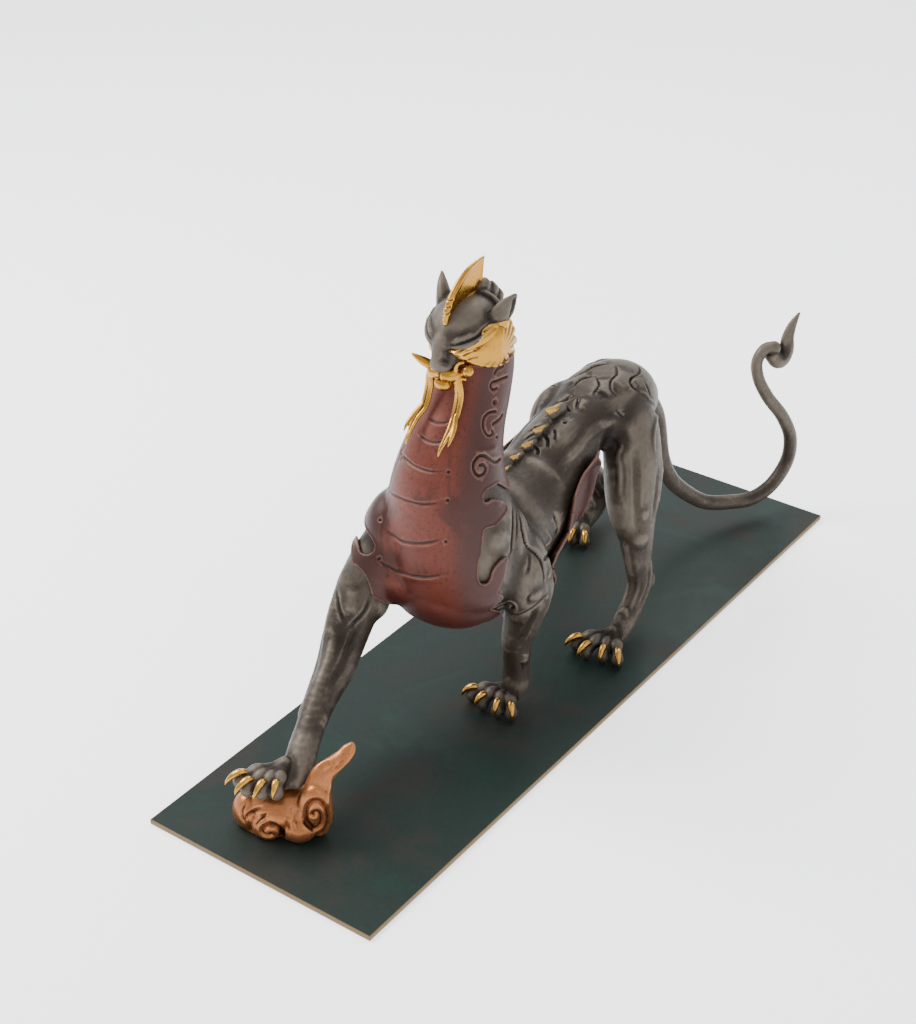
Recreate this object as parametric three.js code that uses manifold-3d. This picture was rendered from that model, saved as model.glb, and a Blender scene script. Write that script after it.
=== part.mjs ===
// A striding pixiu in cast bronze: a slim lion-bodied beast with a columnar neck, a red-patinated
// breast shell, gilt horn, cheek manes and whiskers, and one forepaw on a copper cloud. It stands on
// a thin oblong plate. Millimetres, +Z up, the beast faces -Y and +X is its left side.
// The origin is the centre of the plate's underside.

import * as THREE from "three";
import { mergeVertices } from "three/addons/utils/BufferGeometryUtils.js";
import Module from "manifold-3d";

const wasm = await Module();
wasm.setup();

// Driving dimensions
const PLATE = { width: 150, length: 489, thick: 3 };
const GAP = 0.3; // clearance between pieces that touch
const FLOOR = PLATE.thick + GAP; // where the paws and the cloud stand
const SHELL = 1.5; // wall of the breast shell
const KEEL_SIDES = 12; // sides of the rounded keel under the belly
const TOE = { reach: 21, knuckle: 4.4, pad: 4.6, claw: 2.2 };
const SCUTE = { count: 9, length: 10, half: 8, rise: 4 };
const HORN_THICK = 2.2;
const MANE = { lobes: 7, bulge: 5.5, centre: [17, -61.5, 240], reach: [18.5, 12], tilt: 12, slope: 0.2 };

const radians = THREE.MathUtils.degToRad;

// A closed geometry as a solid: only the positions are kept, with shared vertices merged.
function solid(geometry) {
  const g = geometry.clone();
  g.deleteAttribute("normal");
  g.deleteAttribute("uv");
  const merged = mergeVertices(g, 1e-4);
  return new wasm.Manifold(
    new wasm.Mesh({
      numProp: 3,
      vertProperties: merged.attributes.position.array,
      triVerts: new Uint32Array(merged.index.array),
    }),
  );
}

const joined = (solids) => solids.reduce((all, one) => all.add(one));

// A limb is lofted through stations [x, y, z, half width, half depth] along a smooth curve.
// The width lies along `side`, the depth across it, and a ring comes `every` few millimetres. An end
// is domed, unless `blunt` says that it lies hidden in another form.
function limb(stations, { sides = 8, every = 18, grow = 0, side = [1, 0, 0], blunt = [0, 0] } = {}) {
  const path = new THREE.CatmullRomCurve3(stations.map(([x, y, z]) => new THREE.Vector3(x, y, z)));
  const girth = new THREE.CatmullRomCurve3(
    stations.map(([, , , wide, deep = wide]) => new THREE.Vector3(wide + grow, deep + grow, 0)),
  );
  const sideways = new THREE.Vector3(...side);
  const count = Math.round(path.getLength() / every);
  const section = (t, shrink, push) => {
    const along = path.getTangent(t);
    const across = sideways.clone().addScaledVector(along, -sideways.dot(along)).normalize();
    const up = along.clone().cross(across);
    const size = girth.getPoint(t);
    const middle = path.getPoint(t).addScaledVector(along, push * Math.min(size.x, size.y));
    return Array.from({ length: sides }, (_, i) => {
      const turn = (2 * Math.PI * i) / sides;
      return middle
        .clone()
        .addScaledVector(across, Math.cos(turn) * size.x * shrink)
        .addScaledVector(up, Math.sin(turn) * size.y * shrink);
    });
  };
  const rings = Array.from({ length: count + 1 }, (_, i) => section(i / count, 1, 0));
  if (!blunt[0]) rings.unshift(section(0, 0.72, -0.5));
  if (!blunt[1]) rings.push(section(1, 0.72, 0.5));
  return skin(rings, section(0, 0, blunt[0] ? 0 : -0.75)[0], section(1, 0, blunt[1] ? 0 : 0.75)[0]);
}

// The solid whose skin runs over the rings, from one pole to the other.
function skin(rings, start, end) {
  const sides = rings[0].length;
  const points = [...rings.flat(), start, end];
  const at = (r, i) => r * sides + (i % sides);
  const faces = [];
  for (let i = 0; i < sides; i++) {
    faces.push([points.length - 2, at(0, i + 1), at(0, i)]);
    for (let r = 0; r + 1 < rings.length; r++) {
      faces.push([at(r, i), at(r, i + 1), at(r + 1, i + 1)]);
      faces.push([at(r, i), at(r + 1, i + 1), at(r + 1, i)]);
    }
    faces.push([points.length - 1, at(rings.length - 1, i), at(rings.length - 1, i + 1)]);
  }
  const g = new THREE.BufferGeometry().setFromPoints(points);
  g.setIndex(faces.flat());
  return solid(g);
}

// A muscle or a knuckle: a ball stretched to three half sizes and turned about X, Y and Z in degrees.
function mound([x, y, z, a, b, c], { turn = [0, 0, 0], grow = 0, detail = 1 } = {}) {
  const g = new THREE.IcosahedronGeometry(1, detail).scale(a + grow, b + grow, c + grow);
  const spin = new THREE.Euler(...turn.map(radians));
  return solid(g.applyMatrix4(new THREE.Matrix4().makeRotationFromEuler(spin)).translate(x, y, z));
}

const mirrored = ([x, ...rest]) => [-x, ...rest];

// The trunk runs from the breast to the rump: deep chest, tucked waist, high haunches.
const TRUNK = [
  [0, -62, 103, 30, 28],
  [0, -42, 106, 35, 35],
  [0, -14, 107, 31, 33],
  [0, 12, 114, 26, 32],
  [0, 30, 128, 22, 24],
  [0, 46, 135, 21, 19],
  [0, 74, 139, 25, 21],
  [0, 100, 135, 25, 22],
  [0, 118, 126, 18, 18],
];

// The neck rises like a column and carries the head.
const NECK = [
  [0, -63, 88, 30, 27],
  [0, -66, 104, 38, 34],
  [0, -70, 124, 39, 34],
  [0, -73, 142, 35.5, 31],
  [0, -74, 160, 30, 28],
  [0, -70, 176, 25.5, 25],
  [0, -61, 193, 20.5, 20.5],
  [0, -54, 208, 19, 19],
  [0, -50, 224, 18, 18.5],
  [0, -50, 236, 16, 16],
];

const FORE_LEFT = [
  [21, -46, 136, 10, 14],
  [29, -54, 116, 13, 18],
  [33.5, -49, 93, 14, 17.5],
  [30, -43, 74, 12, 13.5],
  [27, -42, 60, 10.8, 12],
  [25, -44, 47, 9, 9.5],
  [25, -45, 30, 7.8, 8.2],
  [23, -49, 16, 9, 8],
  [22, -53, 10, 9.5, 4],
];

const FORE_RIGHT = [
  [-24, -78, 130, 12, 16],
  [-33, -96, 110, 14, 17],
  [-34, -109, 88, 13, 14.5],
  [-35, -123, 70, 11.5, 13],
  [-31, -138, 60, 10.5, 11.5],
  [-26, -159, 51, 9, 9.2],
  [-21, -174, 45, 8.2, 8.5],
  [-17, -187, 41, 9, 8.5],
  [-15, -198, 38, 10, 6.5],
];

const HIND_LEFT = [
  [14, 84, 144, 9, 15],
  [20, 80, 130, 14, 22],
  [27, 72, 112, 15.5, 23],
  [33, 64, 88, 14, 19],
  [37, 63, 70, 11, 13],
  [39, 63, 55, 8.8, 10.5],
  [41, 64, 34, 7.5, 8.5],
  [42, 52, 20, 7.8, 8],
  [42, 38, 14, 9, 7],
  [42, 32, 10, 9.5, 4],
];

const HIND_RIGHT = [
  [-14, 84, 144, 9, 15],
  [-20, 85, 130, 14, 24],
  [-28, 88, 112, 15, 23],
  [-33, 98, 86, 12.5, 17],
  [-36, 117, 64, 9.5, 11],
  [-37, 140, 44, 7.5, 8.5],
  [-37, 153, 28, 7.5, 8.5],
  [-37, 147, 17, 7.8, 8],
  [-37, 137, 14, 9, 7],
  [-37, 131, 10, 9.5, 4],
];

// The breast between the forelegs, and the top of the right foreleg that the shell sleeves.
const BREAST = [
  [-3, -76, 94, 35, 24, 23],
  [-27, -84, 122, 17, 20, 25],
];

const SLEEVE = [
  [-24, -78, 130, 12, 16],
  [-33, -96, 110, 14, 17],
  [-34, -104, 97, 13.5, 15.5],
];

const MUSCLES = [
  [25, -62, 121, 15, 19, 25], // left shoulder
  [33, -31, 80, 6, 6, 8], // left elbow
  [-28, -106, 87, 8, 10, 12], // right upper arm
  [-21, 64, 132, 13, 26, 18], // right haunch
  [41, 71, 32, 6.5, 7, 8], // left hock
  [-37, 160, 32, 6.5, 6, 8], // right hock
];

// The tail hangs from the rump, sweeps out to the left just over the plate and rises in an S.
const TAIL_SIDE = [0.894, -0.447, 0]; // square to the plane that the tail lies in
const TAIL = [
  [0, 128, 124, 8],
  [2, 142, 104, 6.5],
  [4.5, 149, 68, 5.8],
  [8, 156, 50, 5.4],
  [14, 168, 36, 5.2],
  [21, 182, 25, 5],
  [30, 199, 20, 4.9],
  [37.4, 214, 18, 4.8],
  [44, 228, 24, 4.7],
  [49, 238, 40, 4.6],
  [49.4, 238.5, 57, 4.5],
  [46, 231, 75, 4.3],
  [39.5, 218.5, 94, 4.1],
  [35.5, 211, 110, 3.9],
  [34.7, 209.5, 122, 3.8],
  [37, 214, 129, 3.8],
  [40.5, 221, 128, 4.6],
];

// The tuft at its end: a calyx and one pointed leaf.
const TUFT = [
  [39.5, 219, 124, 5, 5],
  [42.5, 225, 119, 5.5, 6.5],
  [44.5, 229, 124, 4.5, 5.5],
  [44.7, 229.4, 133, 3.5, 4.4],
  [46, 232, 142, 2.4, 3],
  [48, 236, 149, 0.8, 1],
];

// A paw is four arched toes fanned about -Y, each with a pad under its tip and a curved claw over it.
function paw([x, y, z], fan, reach, grow) {
  return fan.flatMap((degrees) => {
    const out = [Math.sin(radians(degrees)), -Math.cos(radians(degrees))];
    const side = [-out[1], out[0], 0];
    const at = (far, up, ...girth) => {
      const run = far * reach;
      return [x + out[0] * run, y + out[1] * run, z + up, ...girth];
    };
    const pad = TOE.pad;
    const toe = [
      at(0.2, pad * 1.6, TOE.knuckle, 4),
      at(0.5, pad * 1.85, TOE.knuckle, 3.8),
      at(0.95, pad, pad, pad),
    ];
    const claw = [at(0.85, pad * 1.6, TOE.claw), at(1.1, pad * 1.7, 1.9), at(1.3, pad, 0.5)];
    return [
      limb(toe, { sides: 5, every: 9, grow, side, blunt: [1, 0] }),
      limb(claw, { sides: 4, every: 6, grow, side, blunt: [1, 1] }),
    ];
  });
}

const FAN = [-57, -18, 22, 54]; // the toes' angles on the plate
const FAN_CLOUD = [-34, -14, 9, 36]; // closer together on the cloud

// The head: skull, brows, muzzle and jaw.
const HEAD = [
  [0, -44, 236, 16, 15],
  [0, -54, 244, 19.5, 17],
  [0, -66, 245, 17, 14.5],
  [0, -76, 238, 9.5, 10],
  [0, -82, 231, 6, 5.5],
];

const BROW = [10, -71, 246, 7, 8, 4];

const EAR = [
  [17, -55, 251, 5.5, 3],
  [19.5, -52, 260, 4.5, 2.4],
  [22, -48, 266, 1, 0.8],
];

// A lock of hair runs back from the horn's foot in three curls.
const LOCK = [
  [0, -49, 259, 3, 4],
  [1, -44.5, 263.5, 3.6, 5.5],
  [1.4, -41, 259, 2.6, 5],
  [2, -37, 259, 4, 6.5],
  [1.7, -36, 252, 2.8, 5],
  [1.5, -33, 250, 4, 6.5],
  [0.8, -35, 243, 3.4, 4],
];

const head = (grow) =>
  joined([
    limb(HEAD, { sides: 10, every: 7, grow }),
    mound(BROW, { grow }),
    mound(mirrored(BROW), { grow }),
    limb(EAR, { sides: 5, every: 6, grow, side: [0.5, 0.86, 0] }),
    limb(EAR.map(mirrored), { sides: 5, every: 6, grow, side: [-0.5, 0.86, 0] }),
    limb(LOCK, { sides: 6, every: 4, grow, blunt: [1, 1] }),
  ]);

const torso = (grow) =>
  joined([
    limb(TRUNK, { sides: 12, every: 18, grow, blunt: [1, 0] }),
    limb(NECK, { sides: 12, every: 18, grow }),
    ...BREAST.map((m) => mound(m, { grow })),
  ]);

const legs = (grow) =>
  joined([
    ...[FORE_LEFT, FORE_RIGHT].map((leg) => limb(leg, { grow, blunt: [1, 1] })),
    ...[HIND_LEFT, HIND_RIGHT].map((leg) => limb(leg, { grow, blunt: [0, 1] })),
    ...MUSCLES.map((m) => mound(m, { grow })),
  ]);

const cloudPaw = (grow) =>
  joined([limb(FORE_RIGHT.slice(5), { grow }), ...paw([-16, -199, 31], FAN_CLOUD, 23.5, grow)]);

const tail = joined([
  limb(TAIL, { sides: 6, every: 11, side: TAIL_SIDE }),
  limb(TUFT, { sides: 6, every: 8, side: TAIL_SIDE }),
]);

const beast = joined([
  torso(0),
  legs(0),
  head(0),
  tail,
  cloudPaw(0),
  ...paw([21, -47, FLOOR], FAN, TOE.reach * 0.85, 0),
  ...paw([42, 35, FLOOR], FAN, TOE.reach, 0),
  ...paw([-37, 134, FLOOR], FAN, TOE.reach, 0),
]);

// A flat outline of [y, z] corners, given thickness from x = from to x = to.
function slab(outline, from, to) {
  const shape = new THREE.Shape(outline.map(([y, z]) => new THREE.Vector2(y, z)));
  const g = new THREE.ExtrudeGeometry(shape, { depth: to - from, bevelEnabled: false });
  const axes = new THREE.Matrix4().makeBasis(
    new THREE.Vector3(0, 1, 0),
    new THREE.Vector3(0, 0, 1),
    new THREE.Vector3(1, 0, 0),
  );
  return solid(g.applyMatrix4(axes).translate(from, 0, 0));
}

const smooth = (points, count) =>
  new THREE.SplineCurve(points.map(([y, z]) => new THREE.Vector2(y, z)))
    .getSpacedPoints(count)
    .map((p) => [p.x, p.y]);

// The shell's back edge seen from the side, [y, z] from the throat down: three cloud scrolls on the
// neck, a collar round the withers, a hook, and the slot round the shoulder.
const SCROLL_EDGE = [
  [-62, 222],
  [-60, 211],
  [-66, 205],
  [-60, 199],
  [-71, 195],
  [-61, 186],
  [-80, 182],
  [-83, 175],
  [-73, 171],
  [-50, 172],
  [-24, 152],
  [-27, 143],
  [-46, 147],
  [-64, 159],
  [-84, 165],
  [-86, 159],
  [-73, 152],
  [-88, 143],
  [-91, 128],
  [-90, 114],
  [-84, 109],
  [-78, 116],
  [-73, 100],
  [-75, 87],
];
const BREAST_FRONT = [
  [-52, 70],
  [-52, 58],
  [-115, 58],
  [-115, 222],
];
const BELLY_EDGE = [
  [-54, 84],
  [-25, 98],
  [-8, 104],
  [-3, 113],
  [4, 120],
  [18, 127],
  [33, 131],
  [39, 124],
  [30, 100],
  [16, 60],
  [-54, 58],
];

// The shell leaves a patch of the right shoulder bare.
const SHOULDER_PATCH = [-35, -101, 124, 7, 8, 9];

// Under the belly the shell hangs a little below the body, like a keel.
const KEEL = [
  [0, -56, 100, 27, 30],
  [0, -30, 102, 28, 33],
  [0, -6, 104, 28, 33],
  [0, 10, 106, 27, 31],
  [0, 22, 115, 24, 24],
  [0, 36, 126, 22, 14],
];

const breastWindow = slab([...smooth(SCROLL_EDGE, 28), ...BREAST_FRONT], -60, 60);
const bellyWindow = slab(BELLY_EDGE, -60, 60);
const shell = torso(GAP + SHELL)
  .add(limb(SLEEVE, { grow: GAP + SHELL, blunt: [1, 0] }))
  .add(limb(KEEL, { sides: KEEL_SIDES, every: 24 }))
  .intersect(breastWindow.add(bellyWindow))
  .subtract(torso(GAP))
  .subtract(legs(GAP))
  .subtract(mound(SHOULDER_PATCH));

// The scutes down the spine, from the withers back: each is a leaf whose point stands up forwards.
const SPINE = new THREE.SplineCurve(
  [
    [-24, 139],
    [-5, 141],
    [18, 149],
    [49, 156],
    [78, 160],
  ].map(([y, z]) => new THREE.Vector2(y, z)),
);
const scutes = Array.from({ length: SCUTE.count }, (_, i) => {
  const { x: y, y: z } = SPINE.getPoint(0.12 + (0.72 * i) / (SCUTE.count - 1));
  const size = 0.7 + (0.5 * i) / SCUTE.count;
  return limb(
    [
      [0, y + SCUTE.length * 0.5 * size, z - 2, SCUTE.half * size, 2.5],
      [0, y, z - 0.5, SCUTE.half * 0.8 * size, 2],
      [0, y - SCUTE.length * 0.5 * size, z + SCUTE.rise * 0.4 * size, 0.9, 0.8],
    ],
    { sides: 4, every: 8, blunt: [1, 1] },
  );
});

// The horn is a blade on the midline: a thick front ridge and a thin hollowed web behind it.
const HORN_FRONT = [
  [0, -78, 252, 1.6],
  [0, -79, 260, 2],
  [0, -71, 268, 2],
  [0, -60, 275, 1.8],
  [0, -45.5, 278, 0.8],
];
const HORN_WEB = [
  [-78, 250],
  [-79, 260],
  [-71, 268],
  [-60, 275],
  [-46, 278],
  [-46, 271],
  [-50, 262],
  [-50, 250],
];

// A cheek mane is a shell-like fan behind the mouth, with lobes along its back edge.
function mane(hand) {
  const [cx, cy, cz] = MANE.centre;
  const lean = radians(MANE.tilt);
  const points = 3 * MANE.lobes;
  const ring = (scale, out, cut) =>
    Array.from({ length: points }, (_, i) => {
      const turn = (2 * Math.PI * i) / points;
      const behind = Math.cos(turn) > -0.5;
      const lobe = behind ? 1 + cut * (Math.abs(Math.sin((turn * MANE.lobes) / 2)) - 0.5) : 1;
      const a = Math.cos(turn) * MANE.reach[0] * scale * lobe;
      const b = Math.sin(turn) * MANE.reach[1] * scale * lobe * (behind ? 1 : 0.7);
      const y = cy + a * Math.cos(lean) + b * Math.sin(lean);
      const z = cz - a * Math.sin(lean) * 0.4 + b * Math.cos(lean);
      return new THREE.Vector3(hand * (cx + out + (y - cy) * MANE.slope), y, z);
    });
  const rings = [ring(0.9, -5, 0.08), ring(1, 0, 0.14), ring(0.75, 4, 0.14)];
  if (hand < 0) rings.reverse();
  const pole = (out) => new THREE.Vector3(hand * (cx + out), cy, cz);
  return hand < 0 ? skin(rings, pole(MANE.bulge), pole(-5)) : skin(rings, pole(-5), pole(MANE.bulge));
}

// The gilt mouth: a lip, a chin, a whisker from each corner and a knob or tusk beside it.
const LIP = [
  [-8, -77, 225, 3.2],
  [-4, -81.5, 225.5, 4],
  [0, -82, 226.5, 3.2],
  [4, -81.5, 225.5, 4],
  [8, -77, 225, 3.2],
];
const CHIN = [0, -78, 220, 6, 4.6, 3.8];
const WHISKER = [
  [7, -79, 226, 2.8, 2.4],
  [10, -78.5, 219, 2.4, 2],
  [11, -78.5, 210, 2.4, 1.8],
  [10.5, -83, 201, 2.2, 1.7],
  [9, -92, 193.5, 1.8, 1.4],
  [8, -97, 188, 0.8, 0.7],
];
const CORNER = [
  [6, -79, 226, 1.8],
  [9.5, -80, 230, 1.8],
  [13.5, -78, 230, 3.2],
];
const TUSK = [
  [-5, -79, 226, 3],
  [-11, -82, 233, 2.6],
  [-17, -85, 239, 0.8],
];

// The cloud: a rolling body, a volute at the front, an upright scroll at the beast's left and a leaf
// that runs up from it behind the paw.
const CLOUD_BODY = [
  [-17, -203, 15, 20, 17, 13],
  [-31, -211, 17, 9, 10, 12],
];
const CLOUD_DISCS = [
  { at: [-12, -214, 12, 11, 8, 9.5], spiral: 7 },
  { at: [4, -201, 20, 9.5, 5, 16], spiral: 7 },
];
const CLOUD_LEAF = [
  [2, -199, 20, 7, 4],
  [3, -196, 31, 6.5, 3.4],
  [5, -189, 39, 5, 3],
  [8.5, -182, 44.5, 3.6, 2.4],
  [11, -177, 51, 2.6, 1.8],
];
const FACING = [0.588, -0.809, 0]; // the way the volutes face
const ACROSS = [0.809, 0.588, 0];

// A volute is a disc with a spiral rib wound inwards over its face.
function volute({ at: [x, y, z, wide, deep, tall], spiral }) {
  const turns = 1.4;
  const count = 11;
  const rib = Array.from({ length: count + 1 }, (_, i) => {
    const along = i / count;
    const turn = -Math.PI / 2 + 2 * Math.PI * turns * along;
    const r = spiral * (1 - 0.8 * along);
    const [u, v] = [Math.cos(turn) * r, Math.sin(turn) * r * (tall / wide)];
    const out = deep * (0.55 + 0.4 * along);
    return [x + ACROSS[0] * u + FACING[0] * out, y + ACROSS[1] * u + FACING[1] * out, z + v, 1.8, 1.8];
  });
  const facing = THREE.MathUtils.radToDeg(Math.atan2(ACROSS[1], ACROSS[0]));
  return mound([x, y, z, wide, deep, tall], { turn: [0, 0, facing] }).add(
    limb(rib, { sides: 3, every: 6, side: FACING, blunt: [1, 1] }),
  );
}

const above = slab([[-300, FLOOR], [300, FLOOR], [300, 300], [-300, 300]], -100, 100);
const cloud = joined([
  ...CLOUD_BODY.map((m) => mound(m)),
  ...CLOUD_DISCS.map(volute),
  limb(CLOUD_LEAF, { sides: 6, every: 10, side: ACROSS, blunt: [1, 0] }),
])
  .intersect(above)
  .subtract(cloudPaw(GAP));

const skull = head(GAP);
const throat = limb(NECK, { sides: 12, every: 18, grow: SHELL + 2 * GAP, blunt: [0, 1] });
const horn = slab(HORN_WEB, -HORN_THICK / 2, HORN_THICK / 2)
  .add(limb(HORN_FRONT, { sides: 5, every: 10 }))
  .subtract(skull);
const muzzle = joined([
  limb(LIP, { sides: 6, every: 4.5, side: [0, 0, 1] }),
  mound(CHIN),
  limb(WHISKER, { sides: 5, every: 11 }),
  limb(WHISKER.map(mirrored), { sides: 5, every: 11 }),
  limb(CORNER, { sides: 6, every: 5 }),
  limb(TUSK, { sides: 6, every: 6, side: [0, 1, 0] }),
])
  .subtract(skull)
  .subtract(throat);
const besideManes = joined([skull, throat, shell, muzzle]);
const manes = [1, -1].map((hand) => mane(hand).subtract(besideManes));

const painted = (name, body, color, roughness, metalness) => {
  const { vertProperties, triVerts } = body.getMesh();
  const g = new THREE.BufferGeometry();
  g.setAttribute("position", new THREE.BufferAttribute(vertProperties, 3));
  g.setIndex(new THREE.BufferAttribute(triVerts, 1));
  const mesh = new THREE.Mesh(g, new THREE.MeshStandardMaterial({ color, roughness, metalness }));
  mesh.name = name;
  return mesh;
};

const pixiu = new THREE.Group();
pixiu.add(painted("beast", joined([beast, ...scutes]), 0x59544c, 0.5, 0.8));
pixiu.add(painted("breast_shell", shell, 0x7c2f26, 0.5, 0.5));
pixiu.add(painted("cloud", cloud, 0xa5652f, 0.45, 0.8));
pixiu.add(painted("horn_crest", horn, 0xc79a3e, 0.35, 1));
pixiu.add(painted("cheek_mane_left", manes[0], 0xc79a3e, 0.35, 1));
pixiu.add(painted("cheek_mane_right", manes[1], 0xc79a3e, 0.35, 1));
pixiu.add(painted("gilt_muzzle", muzzle, 0xc79a3e, 0.35, 1));
const plate = solid(
  new THREE.BoxGeometry(PLATE.width, PLATE.length, PLATE.thick).translate(0, 0, PLATE.thick / 2),
);
pixiu.add(painted("base_plate", plate, 0x1f3a33, 0.4, 0.7));

export default pixiu;
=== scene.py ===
import math

import bmesh
import bpy
import numpy as np
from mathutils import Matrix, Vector
from mathutils.bvhtree import BVHTree
from mathutils.kdtree import KDTree


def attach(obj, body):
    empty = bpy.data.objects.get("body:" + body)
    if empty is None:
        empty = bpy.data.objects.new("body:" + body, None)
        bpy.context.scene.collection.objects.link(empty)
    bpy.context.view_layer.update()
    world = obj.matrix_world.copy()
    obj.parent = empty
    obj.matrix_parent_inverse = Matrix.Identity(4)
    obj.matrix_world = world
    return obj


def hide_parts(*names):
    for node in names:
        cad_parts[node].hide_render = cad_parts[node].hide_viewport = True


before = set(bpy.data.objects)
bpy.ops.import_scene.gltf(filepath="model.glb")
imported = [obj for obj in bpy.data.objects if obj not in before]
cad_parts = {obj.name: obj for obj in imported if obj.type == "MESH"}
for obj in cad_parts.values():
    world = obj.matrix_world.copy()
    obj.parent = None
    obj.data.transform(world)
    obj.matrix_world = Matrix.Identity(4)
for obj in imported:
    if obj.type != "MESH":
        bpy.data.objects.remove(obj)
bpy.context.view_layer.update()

# The photographer's view: from the beast's front left and well above it, with the plate's corners
# where the picture has them.
CAMERA_AT = Vector((0.5247, -0.7883, 0.6912))
CAMERA_LOOKS = Vector((-0.49904, 0.68636, -0.52903))
FOCAL_PIXELS = 1934
PHOTO_MIDDLE = (458, 512)
PHOTO_HEIGHT = 1024
SENSOR = 36

bpy.ops.object.select_all(action="DESELECT")
bpy.ops.object.camera_add(location=CAMERA_AT)
camera = bpy.context.object
camera.name = "photo_camera"
camera.rotation_euler = CAMERA_LOOKS.to_track_quat("-Z", "Y").to_euler()
camera.data.sensor_width = SENSOR
camera.data.lens = FOCAL_PIXELS / PHOTO_HEIGHT * SENSOR
bpy.context.scene.camera = camera
bpy.context.view_layer.update()

# The studio: a pale floor that glows a little, a wide soft light from the picture's left, a top
# light from behind, a faint fill from the right, and an even pale sky.
FLOOR_SIZE = 8
FLOOR_COLOUR = (0.92, 0.925, 0.93, 1)
FLOOR_ROUGHNESS = 0.6
FLOOR_GLOW = 1.2
SKY_COLOUR = (0.93, 0.94, 0.95, 1)
SKY_STRENGTH = 1.25
LIGHTS_AIM = Vector((0, 0, 0.1))
SOFT_LIGHTS = [
    # place, size and power
    ((-0.95, -0.35, 1.15), 0.8, 30), ((-0.1, 0.9, 1.3), 0.9, 12), ((1.2, -0.4, 0.8), 0.9, 3),
]

floor_paint = bpy.data.materials.new("pale_floor")
floor_paint.use_nodes = True
floor_shader = floor_paint.node_tree.nodes["Principled BSDF"]
floor_shader.inputs["Base Color"].default_value = FLOOR_COLOUR
floor_shader.inputs["Roughness"].default_value = FLOOR_ROUGHNESS
floor_shader.inputs["Emission Color"].default_value = FLOOR_COLOUR
floor_shader.inputs["Emission Strength"].default_value = FLOOR_GLOW
bpy.ops.mesh.primitive_plane_add(size=FLOOR_SIZE, location=(0, 0, 0))
floor = bpy.context.object
floor.name = "studio_floor"
floor.data.materials.append(floor_paint)

for place, size, power in SOFT_LIGHTS:
    bpy.ops.object.light_add(type="AREA", location=place)
    lamp = bpy.context.object
    lamp.data.size = size
    lamp.data.energy = power
    lamp.rotation_euler = (LIGHTS_AIM - Vector(place)).to_track_quat("-Z", "Y").to_euler()

world = bpy.data.worlds.new("pale_room")
world.use_nodes = True
world.node_tree.nodes["Background"].inputs["Color"].default_value = SKY_COLOUR
world.node_tree.nodes["Background"].inputs["Strength"].default_value = SKY_STRENGTH
bpy.context.scene.world = world

# The base is a thin oblong bronze plate, patinated dark green with cloudy brown patches. Its edges
# are rubbed bright, and it carries the beast and the cloud.
MM = 0.001
PLATE_SIZE = (0.150, 0.489, 0.003)
PLATE_BEVEL = 0.0004
# The bright edge ends between the bevel and a ring of cuts that keeps it narrow
RUBBED_EDGE = 0.00041
EDGE_CUT = 0.0006
PLATE_GREEN = (0.005, 0.014, 0.011)
PLATE_BROWN = (0.017, 0.015, 0.011)
PLATE_SEA_GREEN = (0.005, 0.024, 0.017)
PLATE_FLECK = (0.012, 0.030, 0.022)
PLATE_PIT = (0.003, 0.007, 0.006)
PLATE_BRASS = (0.20, 0.125, 0.05)


def patina_group():
    """Cloudy patches and fine speckle, shared by all the patinated bronze."""
    group = bpy.data.node_groups.new("patina_clouds", "ShaderNodeTree")
    for name, size in (("Patch size", 30.0), ("Speckle size", 900.0)):
        socket = group.interface.new_socket(name, in_out="INPUT", socket_type="NodeSocketFloat")
        socket.default_value = size
    for name in ("Patches", "Speckle"):
        group.interface.new_socket(name, in_out="OUTPUT", socket_type="NodeSocketFloat")
    into = group.nodes.new("NodeGroupInput")
    out = group.nodes.new("NodeGroupOutput")
    place = group.nodes.new("ShaderNodeTexCoord")
    for name, scale, detail, roughness, distortion in (
        ("Patches", "Patch size", 6, 0.62, 0.6), ("Speckle", "Speckle size", 3, 0.7, 0),
    ):
        noise = group.nodes.new("ShaderNodeTexNoise")
        noise.inputs["Detail"].default_value = detail
        noise.inputs["Roughness"].default_value = roughness
        noise.inputs["Distortion"].default_value = distortion
        group.links.new(place.outputs["Object"], noise.inputs["Vector"])
        group.links.new(into.outputs[scale], noise.inputs["Scale"])
        group.links.new(noise.outputs["Fac"], out.inputs[name])
    return group


patina = patina_group()


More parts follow.
